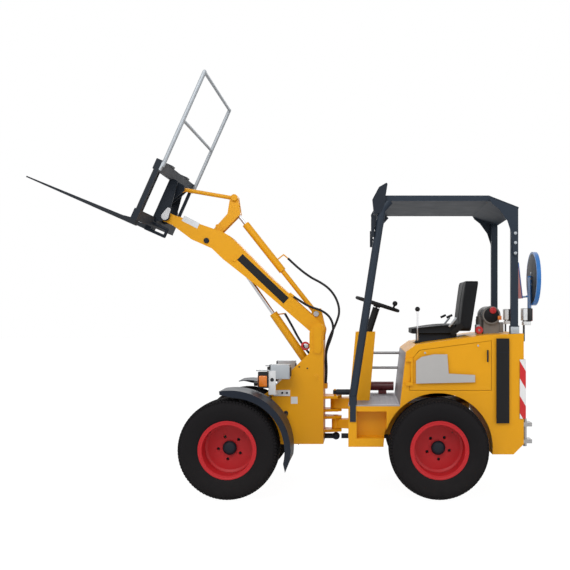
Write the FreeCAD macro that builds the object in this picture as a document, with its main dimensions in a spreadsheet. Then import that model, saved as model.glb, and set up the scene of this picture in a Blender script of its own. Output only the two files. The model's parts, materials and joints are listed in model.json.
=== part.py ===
"""Articulated mini loader with pallet forks, as a parametric FreeCAD document.

Millimetres and degrees. +X points forward, +Y left and +Z up. The origin is on
the ground under the articulation pivot, midway between the axles.
"""

import FreeCAD, Part
import math
import os
import re

import Sketcher
from FreeCAD import Placement, Rotation, Vector

# ---------------------------------------------------------------- driving sizes
SIZES = {
    # wheels and axles
    "axle_reach": 763,        # pivot to each axle
    "tyre_radius": 364,
    "tyre_width": 318,
    "wheel_out": 491,         # centre plane of a tyre from the middle
    "seat_radius": 190,       # where the bead sits on the rim
    "flange_radius": 209,
    "rim_half": 137,
    "flange_wide": 8,
    "rim_wall": 7,
    "bead_gap": 1,
    "dish_in": 35,            # wheel disc, inboard of the tyre's middle
    "disc_wall": 8,
    "shoulder_drop": 23,
    "shoulder_half": 154,
    "wall_high": 290,         # where the side wall is widest
    "tyre_sides": 30,
    "tread_cuts": 60,
    "cut_deep": 10,
    "tread_half": 118,
    "hub_radius": 45,
    "hub_out": 26,
    "hub_in": 16,
    "stub_radius": 25,
    "stub_in": 5,
    "bolt_circle": 86,
    "bolt_hole": 12,
    "bolt_count": 5,
    "front_bolt_turn": 65,
    "rear_bolt_turn": 51,
    "run_fit": 0.05,          # radial clearance of a running pin
    "brake_radius": 78,
    "brake_long": 90,
    "brake_gap": 6,
    "axle_radius": 48,
    "diff_radius": 96,
    "diff_long": 150,
    # front frame
    "frame_half": 176,        # outside of the side plates
    "frame_wall": 12,
    "frame_back": 92,
    "belly_height": 341,
    "nose_low": 880,
    "nose_high": 480,
    "brow_low_x": 560,
    "brow_low_z": 712,
    "brow_mid_x": 443,
    "brow_mid_z": 808,
    "brow_top_x": 214,
    "brow_top_z": 1030,
    "tower_front": 200,
    "tower_neck": 1140,
    "tower_eye": 56,
    "saddle_high": 470,
    "saddle_x": 600,
    # boom pivot and boom
    "pivot_x": 136,
    "pivot_z": 1218,
    "pivot_pin": 20,
    "pin_head": 12,
    "pin_head_radius": 30,
    "keeper_drop": 150,
    "boom_reach": 1479,
    "boom_rise": 36.7,
    "boom_half": 100,
    "boom_wall": 10,
    "boom_tail": 56,
    "tail_depth": 50,
    "waist_x": 525,
    "waist_top": 102,
    "waist_low": 11,
    "knee_back": 930,
    "knee_front": 1066,
    "knee_high": 166,
    "knee_low": 15,
    "neck_x": 1215,
    "neck_low": 23,
    "nose_back": 1440,
    "nose_top": 46,
    "nose_round": 42,
    "top_web_from": 330,
    "top_web_to": 960,
    "nose_web_from": 1245,
    "side_gap": 1,            # a moving eye beside its plates
    "boss_radius": 36,
    # lift cylinder
    "lift_base_x": 154,
    "lift_base_z": 853,
    "lift_eye_x": 858,        # along the boom
    "lift_eye_z": 54,         # across the boom
    "lift_barrel": 32,
    "lift_bore": 24,
    "lift_barrel_end": 602,
    "lift_rod": 15,
    "lift_rod_in": 530,
    "eye_radius": 32,
    "eye_half": 33,
    "eye_pin": 16,
    "gland": 10,
    # tilt linkage
    "ear_x": 155,
    "ear_z": 1345,
    "ear_half": 36,
    "ear_wall": 12,
    "ear_top": 1388,
    "ear_back": 119,
    "ear_front": 191,
    "ear_hip_x": 79,
    "crank_x": 1116,          # along the boom
    "crank_z": 39,            # across the boom
    "crank_eye_x": 781,
    "crank_eye_z": 2138,
    "crank_top_x": 799,
    "crank_top_z": 2258,
    "crank_half": 40,
    "crank_wall": 12,
    "crank_boss": 30,
    "pivot_head": 36,
    "top_head": 34,
    "head_long": 22,          # pin heads of the bell crank, out from its plates
    "tilt_tube": 19,
    "tilt_barrel": 29,
    "tilt_bore": 21,
    "tilt_barrel_from": 433,
    "tilt_barrel_end": 905,
    "tilt_rod": 14,
    "tilt_rod_in": 640,
    "tilt_eye": 26,
    "link_radius": 16,
    "small_pin": 14,
    # hitch, carriage, forks and load guard, in the forks' own frame
    "fork_rise": 24,
    "hitch_half": 118,
    "hitch_wall": 12,
    "hitch_top": 250,
    "hitch_face": 62,
    "hitch_low": 70,
    "hitch_ear": 34,
    "carriage_wall": 46,
    "bar_high": 80,
    "upper_bar": 315,
    "lower_bar": -78,
    "fork_gap": 270,          # middle of each fork from the middle
    "fork_wide": 80,
    "fork_thick": 35,
    "fork_tip_thick": 10,
    "fork_heel": 145,
    "fork_tip": 1034,
    "fork_sole": -158,
    "fork_top": 369,
    "hook_long": 30,
    "rack_half": 586,         # half the load guard and carriage
    "guard_tube": 15,
    "guard_x": 50,
    "guard_mid": 685,
    "guard_top": 1066,
    "loop_tube": 12,
    "loop_back": -56,
    "loop_top": -88,
    "loop_y": 125,
    # mudguards and lamps
    "guard_radius": 437,
    "guard_wall": 6,
    "guard_skirt": 385,
    "guard_wide": 640,
    "guard_drop": 6,         # mudguard centre under the axle
    "guard_back": 20,         # and behind it
    "guard_in": 330,
    "guard_arm": 12,
    "guard_from": 80,
    "guard_to": 189,
    "guard_tip": 201,
    "guard_tip_radius": 425,
    "lamp_face": 494,         # front of the headlamp
    "lamp_long": 154,
    "lamp_low": 852,
    "lamp_high": 108,
    "lamp_in": 212,
    "lamp_out": 326,          # outside of the lamp plate
    "plate_low": 735,
    "plate_high": 915,
    "signal_low": 787,
    "signal_high": 907,
    "signal_front": 577,
    "marker_front": 608,
    "marker_z": 820,
    # articulation
    "hinge_pin": 20,
    "hinge_tube": 34,
    "knuckle_low": 440,
    "knuckle_high": 520,
    "yoke_low": 600,
    "yoke_high": 684,
    "lug_wall": 20,
    "lug_gap": 2,
    "lug_half": 55,
    "steer_arm": 95,
    "steer_x": 6,
    "steer_z": 735,
    "steer_base_x": -222,
    "steer_base_y": 100,
    "steer_barrel": 22,
    "steer_bore": 15,
    "steer_barrel_end": 150,
    "steer_rod": 10,
    "steer_rod_in": 84,
    "steer_eye": 15,
    "steer_pin": 9,
    "shaft_z": 380,
    "shaft_radius": 20,
    # hoses
    "hose_radius": 9,
    "pipe_radius": 5,
    "socket_radius": 12,
    "hose_drop_x": 80,        # hoses going down behind the tower
    "manifold_back": 66,
    "manifold_low": 760,
    "manifold_high": 800,
    "manifold_right": -15,
    "manifold_left": 80,
    "boom_port": 312,         # hose socket along the boom
    "boom_port_z": 94,
    "boom_port_y": 92,
    "tilt_port": 529,         # pipe along the tilt barrel, then back to the hose
    "tilt_port_high": 86,
    "tilt_hose_from": 485,
    "tilt_hose_high": 95,
    "lift_port": 575,
    "lift_hose_from": 549,
    "lift_hose_high": 76,
    "lift_hose_y": 24,
    "lift_socket_y": 54,
    "lift_socket_z": 972,
    "socket_long": 26,
    "hose_seat": 0.8,
    # rear frame and footwell
    "body_half": 500,
    "step_front": -105,
    "sill_height": 370,
    "floor_height": 676,
    "floor_wall": 8,
    "chassis_half": 280,
    "chassis_low": 430,
    "chassis_back": -1018,
    "seat_box_foot": -483,
    "seat_box_top_x": -527,
    "seat_box_top_z": 1065,
    "hood_front": -600,
    "hood_front_z": 1119,
    "hood_crest": -1120,
    "hood_crest_z": 1190,
    "hood_back": -1390,
    "hood_back_z": 1200,
    "tail_height": 315,
    "tail_chamfer": 75,
    "arch_radius": 400,
    "side_wall": 300,
    "shell": 20,
    "cavity_low": 800,
    "cavity_high": 1086,
    "cavity_front": -610,
    "recess_front": -166,
    "recess_back": -385,
    "recess_low": 432,
    "recess_high": 630,
    "recess_deep": 110,
    "engine_long": 480,
    "engine_wide": 520,
    "engine_high": 250,
    # side doors
    "door_low": 786,
    "door_foot": -552,
    "door_hip_x": -580,
    "door_hip_z": 1021,
    "door_top_x": -628,
    "door_top_z": 1076,
    "door_back": -1152,
    "door_back_z": 1146,
    "door_gap": 3,
    "door_pin": 5,
    "door_tube": 9,
    "door_axis_in": 18,
    "door_hinge_low": 840,
    "door_hinge_high": 1000,
    "door_lug": 20,
    # console, steering column and levers
    "console_foot_x": -108,
    "console_back_x": -264,
    "console_top_x": -156,
    "console_top_back": -309,
    "console_top": 1205,
    "console_half": 160,
    "console_wall": 12,
    "console_mouth": 790,
    "column_rake": 18,
    "column_radius": 28,
    "wheel_x": -328,
    "wheel_z": 1421,
    "wheel_radius": 170,
    "wheel_grip": 13,
    "knob_turn": 42,          # place of the knob round the wheel
    "knob_radius": 20,
    "column_long": 240,
    "lever_x": -625,
    "lever_y": 300,
    "lever_top": 1380,
    # seat
    "seat_front": -582,
    "seat_back": -934,
    "seat_rear": -1107,
    "seat_half": 230,
    "seat_low": 1190,
    "seat_top": 1280,
    "seat_lip": 1235,
    "seat_crown": -780,
    "seat_high": 1599,
    "back_wall": 110,
    "soft_gap": 0.3,
    "post_in": 29,            # front post inside the body side
    "roof_in": 20,            # roof edge inside the body side
    # canopy
    "post_radius": 29,
    "post_foot_x": -139,
    "post_foot_z": 676,
    "post_foot_low": 554,     # lower end of the plate outside the chassis
    "post_bend_z": 740,
    "post_head_x": -330,
    "post_head_z": 1973,
    "roof_front": -380,
    "roof_height": 2214,
    "roof_wall": 40,
    "roof_lip": 12,
    "roof_slope_x": -1138,
    "roof_back": -1358,
    "roof_back_z": 2128,
    "rear_post_wide": 53,
    "rear_post_deep": 40,
    "rear_post_in": 32,       # rear post inside the body side
    "shoe_high": 58,          # shoe at the rear post's foot
    "rear_post_x": -1325,
    # rear fittings
    "disc_radius": 200,
    "disc_wall": 30,
    "disc_x": -1488,
    "disc_y": 370,
    "disc_z": 1607,
    "stem_x": -1457,
    "board_low": 576,         # striped corner boards
    "board_high": 1011,
    "board_front": -1360,
    "board_back": -1403,
    "board_in": 380,
    "triangle_x": -1435,
    "triangle_y": 60,
    "triangle_half": 165,
    "triangle_low": 1463,
    "triangle_high": 1749,
    "bracket_radius": 15,
    "rear_lamp_x": -1395,
    "rear_lamp_out": 400,
    "rear_lamp_z": 1340,
    "cleaner_x": -1208,
    "cleaner_top": 1415,
    "hitch_end": -1540,
    "tow_low": 299,
    "tow_high": 491,
    "bottle_radius": 38,
    "bottle_long": 195,
    "bottle_lift": 25,
}

doc = FreeCAD.newDocument("MiniLoader")
sheet = doc.addObject("Spreadsheet::Sheet", "Sizes")
for row, (alias, number) in enumerate(SIZES.items(), 1):
    sheet.set(f"A{row}", alias)
    sheet.set(f"B{row}", str(number))
    sheet.setAlias(f"B{row}", alias)
doc.recompute()


# ---------------------------------------------------------------- helpers
def bind(text):
    """Turn words of the size sheet in an expression into references to its cells."""
    def swap(match):
        word = match.group()
        return f"Sizes.{word}" if word in SIZES else word
    return re.sub(r"[A-Za-z_]\w*", swap, str(text))


def value(text):
    """Work out an expression on the size sheet as a number."""
    result = sheet.evalExpression(bind(text))
    return float(getattr(result, "Value", result))


def tie(thing, path, text):
    """Bind one property of an object to an expression on the size sheet."""
    thing.setExpression(path, bind(text))


def place(thing, at=("0", "0", "0"), turn=None, axis=(0, -1, 0)):
    """Put an object at three expressions, turned by an expression about an axis."""
    if turn is not None:
        thing.Placement = Placement(Vector(), Rotation(Vector(*axis), value(turn) or 1e-9))
        tie(thing, "Placement.Rotation.Angle", turn)
    for letter, text in zip("xyz", at):
        tie(thing, f"Placement.Base.{letter}", text)
    return thing


def block(name, xs, ys, zs):
    """Box between two expressions along each axis."""
    box = doc.addObject("Part::Box", name)
    for prop, (low, high) in zip(("Length", "Width", "Height"), (xs, ys, zs)):
        tie(box, prop, f"({high}) - ({low})")
    return place(box, (xs[0], ys[0], zs[0]))


def across(name, x, z, radius, low, high):
    """Cylinder along Y from low to high, at x and z."""
    rod = doc.addObject("Part::Cylinder", name)
    tie(rod, "Radius", radius)
    tie(rod, "Height", f"({high}) - ({low})")
    rod.Placement = Placement(Vector(), Rotation(Vector(1, 0, 0), -90))
    for letter, text in zip("xyz", (x, low, z)):
        tie(rod, f"Placement.Base.{letter}", text)
    return rod


def upright(name, x, y, radius, low, high):
    """Cylinder along Z from low to high, at x and y."""
    rod = doc.addObject("Part::Cylinder", name)
    tie(rod, "Radius", radius)
    tie(rod, "Height", f"({high}) - ({low})")
    return place(rod, (x, y, low))


def leaning(name, at, rise, radius, low, high):
    """Cylinder in an XZ plane, rising at an angle from +X, from low to high along it."""
    rod = doc.addObject("Part::Cylinder", name)
    tie(rod, "Radius", radius)
    tie(rod, "Height", f"({high}) - ({low})")
    place(rod, turn=f"90 - ({rise})", axis=(0, 1, 0))
    tie(rod, "Placement.Base.x", f"({at[0]}) + ({low}) * cos({rise})")
    tie(rod, "Placement.Base.y", at[1])
    tie(rod, "Placement.Base.z", f"({at[2]}) + ({low}) * sin({rise})")
    return rod


def strut(name, start, end, radius):
    """Cylinder from one point to another in the same XZ plane."""
    dx = f"(({end[0]}) - ({start[0]}))"
    dz = f"(({end[2]}) - ({start[2]}))"
    rise = f"atan2({dz}; {dx}) / 1 deg"
    return leaning(name, start, rise, radius, "0", f"sqrt({dx} ^ 2 + {dz} ^ 2)")


def ball(name, at, radius):
    """Sphere at three expressions."""
    orb = doc.addObject("Part::Sphere", name)
    tie(orb, "Radius", radius)
    return place(orb, at)


def plane_of(body, role):
    """One of a body's own origin planes."""
    return next(f for f in body.Origin.OriginFeatures if f.Role == role)


def draw(body, role, outline):
    """Closed sketch on a body's origin plane.

    Each point is (u, v) or (u, v, radius): with a radius, an arc leads to it,
    with its centre left of the way for a plus sign and right for a minus.
    """
    sketch = body.newObject("Sketcher::SketchObject", body.Name + "_sketch")
    sketch.AttachmentSupport = [(plane_of(body, role), "")]
    sketch.MapMode = "FlatFace"
    count = len(outline)
    spots = [Vector(value(p[0]), value(p[1]), 0) for p in outline]
    ends = []
    radii = []
    for i in range(count):
        p, q = spots[i], spots[(i + 1) % count]
        target = outline[(i + 1) % count]
        if len(target) < 3:
            sketch.addGeometry(Part.LineSegment(p, q))
            ends.append((1, 2))
            continue
        side = -1 if target[2].startswith("-") else 1
        radius = target[2].lstrip("-")
        size = value(radius)
        chord = q - p
        rise = math.sqrt(max(size ** 2 - (chord.Length / 2) ** 2, 0))
        left = Vector(-chord.y, chord.x, 0).normalize()
        centre = (p + q) * 0.5 + left * rise * side
        first, last = (p, q) if side > 0 else (q, p)
        angles = [math.atan2(spot.y - centre.y, spot.x - centre.x) for spot in (first, last)]
        circle = Part.Circle(centre, Vector(0, 0, 1), size)
        sketch.addGeometry(Part.ArcOfCircle(circle, angles[0], angles[1]))
        ends.append((1, 2) if side > 0 else (2, 1))
        radii.append((i, radius))
    for i in range(count):
        following = (i + 1) % count
        sketch.addConstraint(
            Sketcher.Constraint("Coincident", i, ends[i][1], following, ends[following][0]))
    for i, point in enumerate(outline):
        for kind, axis, text, spot in (("DistanceX", -2, point[0], spots[i].x),
                                       ("DistanceY", -1, point[1], spots[i].y)):
            if str(text) == "0":
                sketch.addConstraint(Sketcher.Constraint("PointOnObject", i, ends[i][0], axis))
                continue
            number = sketch.addConstraint(
                Sketcher.Constraint(kind, -1, 1, i, ends[i][0], spot))
            tie(sketch, f"Constraints[{number}]", text)
    for i, radius in radii:
        number = sketch.addConstraint(Sketcher.Constraint("Radius", i, value(radius)))
        tie(sketch, f"Constraints[{number}]", radius)
    return sketch


def slab(name, outline, thick, at=("0", "0", "0"), turn=None):
    """Plate with an outline in XZ and its thickness half to each side of at's Y."""
    body = doc.addObject("PartDesign::Body", name)
    sketch = draw(body, "XZ_Plane", outline)
    pad = body.newObject("PartDesign::Pad", name + "_pad")
    pad.Profile = sketch
    pad.SideType = "Symmetric"
    tie(pad, "Length", thick)
    return place(body, at, turn)


def level(name, outline, low, high):
    """Plate with an outline in XY, from low to high."""
    body = doc.addObject("PartDesign::Body", name)
    sketch = draw(body, "XY_Plane", outline)
    pad = body.newObject("PartDesign::Pad", name + "_pad")
    pad.Profile = sketch
    tie(pad, "Length", f"({high}) - ({low})")
    return place(body, ("0", "0", low))


def facing(name, outline, low, high):
    """Plate with an outline in YZ, from low to high along X."""
    body = doc.addObject("PartDesign::Body", name)
    sketch = draw(body, "YZ_Plane", outline)
    pad = body.newObject("PartDesign::Pad", name + "_pad")
    pad.Profile = sketch
    tie(pad, "Length", f"({high}) - ({low})")
    return place(body, (low, "0", "0"))


def turned(name, outline, at):
    """Ring or disc turned about Y: the outline's u runs along Y, its v is the radius."""
    body = doc.addObject("PartDesign::Body", name)
    sketch = draw(body, "YZ_Plane", outline)
    spin = body.newObject("PartDesign::Revolution", name + "_turn")
    spin.Profile = sketch
    spin.ReferenceAxis = (sketch, ["H_Axis"])
    spin.Angle = 360
    return place(body, at)


def fuse(name, *pieces):
    """Join pieces into one solid."""
    joined = doc.addObject("Part::MultiFuse", name)
    joined.Shapes = list(pieces)
    return joined


def cut(name, base, *tools):
    """Take tools away from a piece."""
    tool = tools[0] if len(tools) == 1 else fuse(name + "_tools", *tools)
    done = doc.addObject("Part::Cut", name)
    done.Base = base
    done.Tool = tool
    return done


def mirror(name, piece):
    """The same piece on the other side of the middle."""
    other = doc.addObject("Part::Mirroring", name)
    other.Source = piece
    other.Normal = Vector(0, 1, 0)
    return other


def hose(name, points):
    """Tube of straight runs joined by tangent arcs, each as large as its runs allow."""
    spots = [Vector(*(value(text) for text in point)) for point in points]
    edges = []
    radii = []
    start = spots[0]
    for before, corner, after in zip(spots, spots[1:], spots[2:]):
        back, ahead = before - corner, after - corner
        reach = 0.45 * min(back.Length, ahead.Length)
        half = back.getAngle(ahead) / 2
        back.normalize()
        ahead.normalize()
        bend = reach * math.tan(half)
        middle = corner + (back + ahead).normalize() * (bend / math.sin(half) - bend)
        first, last = corner + back * reach, corner + ahead * reach
        edges.append(Part.LineSegment(start, first).toShape())
        edges.append(Part.Arc(first, middle, last).toShape())
        radii.append(bend)
        start = last
    edges.append(Part.LineSegment(start, spots[-1]).toShape())
    path = Part.Wire(edges)
    size = value("hose_radius")
    ring = Part.Circle(spots[0], spots[1] - spots[0], size).toShape()
    tube = doc.addObject("Part::Feature", name)
    tube.Shape = path.makePipeShell([Part.Wire(ring)], True, True)
    ideal = math.pi * size ** 2 * path.Length
    print(f"{name}: length {path.Length:.0f}, volume ratio {tube.Shape.Volume / ideal:.4f}, "
          f"radii {min(radii):.0f} to {max(radii):.0f}")
    return tube


def both(name, piece):
    """A piece and its mirror image, joined or as two solids of one node."""
    return fuse(name, piece, mirror(name + "_twin", piece))


def along_boom(x, z):
    """World X and Z of a point in the boom's own frame."""
    return (f"(pivot_x + ({x}) * cos(boom_rise) - ({z}) * sin(boom_rise))",
            f"(pivot_z + ({x}) * sin(boom_rise) + ({z}) * cos(boom_rise))")


def beside(base, end, along, off):
    """World X and Z of a point at one side of a line in the XZ plane."""
    dx, dz = f"({end[0]} - {base[0]})", f"({end[1]} - {base[1]})"
    reach = f"sqrt({dx} ^ 2 + {dz} ^ 2)"
    return (f"{base[0]} + ({along} * {dx} - {off} * {dz}) / {reach}",
            f"{base[1]} + ({along} * {dz} + {off} * {dx}) / {reach}")


def along_forks(x, z):
    """World X and Z of a point in the forks' own frame."""
    return (f"({NOSE[0]} + ({x}) * cos(fork_rise) - ({z}) * sin(fork_rise))",
            f"({NOSE[1]} + ({x}) * sin(fork_rise) + ({z}) * cos(fork_rise))")


def flat(x, z, y):
    """World point of a place in the forks' own frame, at y."""
    spot = along_forks(x, z)
    return (spot[0], y, spot[1])


NOSE = along_boom("boom_reach", "0")
LIFT_EYE = along_boom("lift_eye_x", "lift_eye_z")
CRANK = along_boom("crank_x", "crank_z")
LINK_END = along_forks("0", "hitch_top")
LIFT_BASE = ("lift_base_x", "lift_base_z")
EAR = ("ear_x", "ear_z")
CRANK_EYE = ("crank_eye_x", "crank_eye_z")
NODES = []


def node(piece):
    """Keep a finished piece as a node of the assembly."""
    NODES.append(piece)
    return piece


# ---------------------------------------------------------------- wheels
def prism(name, radius, low, high):
    """Tyre-sided prism about Y whose flats lie at a radius."""
    drum = doc.addObject("Part::Prism", name)
    tie(drum, "Polygon", "tyre_sides")
    tie(drum, "Circumradius", f"({radius}) / cos(180 / tyre_sides)")
    tie(drum, "Height", f"({high}) - ({low})")
    drum.Placement = Placement(Vector(), Rotation(Vector(1, 0, 0), -90))
    tie(drum, "Placement.Base.y", low)
    return drum


def tyre_form():
    """Tyre about the origin: flat-sided shoulders and a tread with cross cuts."""
    half = "tyre_width / 2"
    flats = "cos(180 / tyre_sides)"
    corner = [(half, "wall_high"), ("shoulder_half", "tyre_radius - shoulder_drop"),
              ("tread_half", "tyre_radius")]
    quarter = [(y, f"({radius}) * {flats}") for y, radius in corner]
    upper = quarter + [(f"-({y})", z) for y, z in reversed(quarter)]
    outline = upper + [(y, f"-({z})") for y, z in reversed(upper)]
    profile = facing("tyre_profile", outline, "-1.2 * tyre_radius", "1.2 * tyre_radius")
    turns = []
    for number in range(SIZES["tyre_sides"] // 2):
        turn = doc.addObject("Part::Compound", f"tyre_turn_{number}")
        turn.Links = [profile]
        tie(turn, "Placement.Rotation.Angle", f"({number} + 0.5) * 360 / tyre_sides")
        turn.Placement = Placement(Vector(), Rotation(
            Vector(0, 1, 0), (number + 0.5) * 360 / SIZES["tyre_sides"]))
        turns.append(turn)
    solid = doc.addObject("Part::MultiCommon", "tyre_solid")
    solid.Shapes = turns
    bead = "rim_half - flange_wide - bead_gap"
    hollow = fuse("tyre_hollow",
                  prism("tyre_bore", "seat_radius + run_fit", f"-{half}", half),
                  prism("tyre_mouth_out", "flange_radius + bead_gap * 3", bead, half),
                  prism("tyre_mouth_in", "flange_radius + bead_gap * 3", f"-{half}", f"-({bead})"))
    cuts = []
    for number in range(SIZES["tread_cuts"]):
        turn = f"(({number} + 0.5) * 360 / tread_cuts)"
        notch = doc.addObject("Part::Box", f"tread_cut_{number}")
        for prop, text in (("Length", "2 * cut_deep"), ("Height", "2 * cut_deep"),
                           ("Width", "tyre_width")):
            tie(notch, prop, text)
        place(notch, (f"(tyre_radius - cut_deep) * cos{turn}", f"-{half}",
                      f"(tyre_radius - cut_deep) * sin{turn}"), f"{turn} - 45")
        cuts.append(notch)
    tread = doc.addObject("Part::Compound", "tread_cuts")
    tread.Links = cuts
    return cut("tyre_cut", cut("tyre_plain", solid, hollow), tread)


TYRE = tyre_form()


def wheel(end, x, side, sign):
    """Tyre and rim of one wheel; sign is + on the left and - on the right."""
    hub = f"{end}_rim_{side}"
    at = (x, f"{sign}wheel_out", "tyre_radius")
    tyre = doc.addObject("Part::Compound", f"{end}_tyre_{side}")
    tyre.Links = [TYRE]
    place(tyre, at)
    barrel = turned(f"{hub}_barrel", [
        ("-rim_half", "seat_radius - rim_wall"),
        ("rim_half", "seat_radius - rim_wall"),
        ("rim_half", "flange_radius"),
        ("rim_half - flange_wide", "flange_radius"),
        ("rim_half - flange_wide", "seat_radius"),
        ("-(rim_half - flange_wide)", "seat_radius"),
        ("-(rim_half - flange_wide)", "flange_radius"),
        ("-rim_half", "flange_radius"),
    ], at)
    inner = f"-{sign}dish_in"
    outer = f"{sign}(disc_wall - dish_in)"
    disc = turned(f"{hub}_disc", [
        (inner, "0"), (outer, "0"), (outer, "seat_radius - rim_wall / 2"),
        (inner, "seat_radius - rim_wall / 2")], at)
    boss = turned(f"{hub}_boss", [
        (inner, "0"), (f"{sign}hub_out", "0"), (f"{sign}hub_out", "hub_radius - 12"),
        (f"{sign}(hub_out - 12)", "hub_radius"), (inner, "hub_radius")], at)
    bore = turned(f"{hub}_bore", [
        (f"-{sign}(dish_in + 1)", "0"), (f"{sign}(stub_in + 1)", "0"),
        (f"{sign}(stub_in + 1)", "stub_radius + run_fit"),
        (f"-{sign}(dish_in + 1)", "stub_radius + run_fit")], at)
    holes = []
    for number in range(SIZES["bolt_count"]):
        turn = f"({end}_bolt_turn + {number} * 360 / bolt_count)"
        holes.append(across(
            f"{hub}_bolt_hole_{number}", f"{x} + bolt_circle * cos{turn}",
            f"tyre_radius + bolt_circle * sin{turn}", "bolt_hole",
            f"{sign}wheel_out - dish_in - disc_wall", f"{sign}wheel_out + dish_in + disc_wall"))
    node(tyre)
    node(cut(hub, fuse(hub + "_solid", barrel, disc, boss), bore, *holes))


for end, x in (("front", "axle_reach"), ("rear", "-axle_reach")):
    for side, sign in (("left", "+"), ("right", "-")):
        wheel(end, x, side, sign)


def axle(name, x):
    """Axle beam with its differential, brakes and wheel stubs."""
    disc_face = "(wheel_out - dish_in)"
    beam = across(f"{name}_beam", x, "tyre_radius", "axle_radius",
                  f"-({disc_face} - brake_gap - 10)", f"{disc_face} - brake_gap - 10")
    diff = across(f"{name}_diff", x, "tyre_radius", "diff_radius",
                  "-diff_long / 2", "diff_long / 2")
    brake = across(f"{name}_brake", x, "tyre_radius", "brake_radius",
                   f"{disc_face} - brake_gap - brake_long", f"{disc_face} - brake_gap")
    stub = across(f"{name}_stub", x, "tyre_radius", "stub_radius",
                  f"{disc_face} - brake_gap - 5", "wheel_out + stub_in")
    node(fuse(name, beam, diff, brake, mirror(f"{name}_brake_twin", brake),
              stub, mirror(f"{name}_stub_twin", stub)))


axle("front_axle", "axle_reach")
axle("rear_axle", "-axle_reach")


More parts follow.
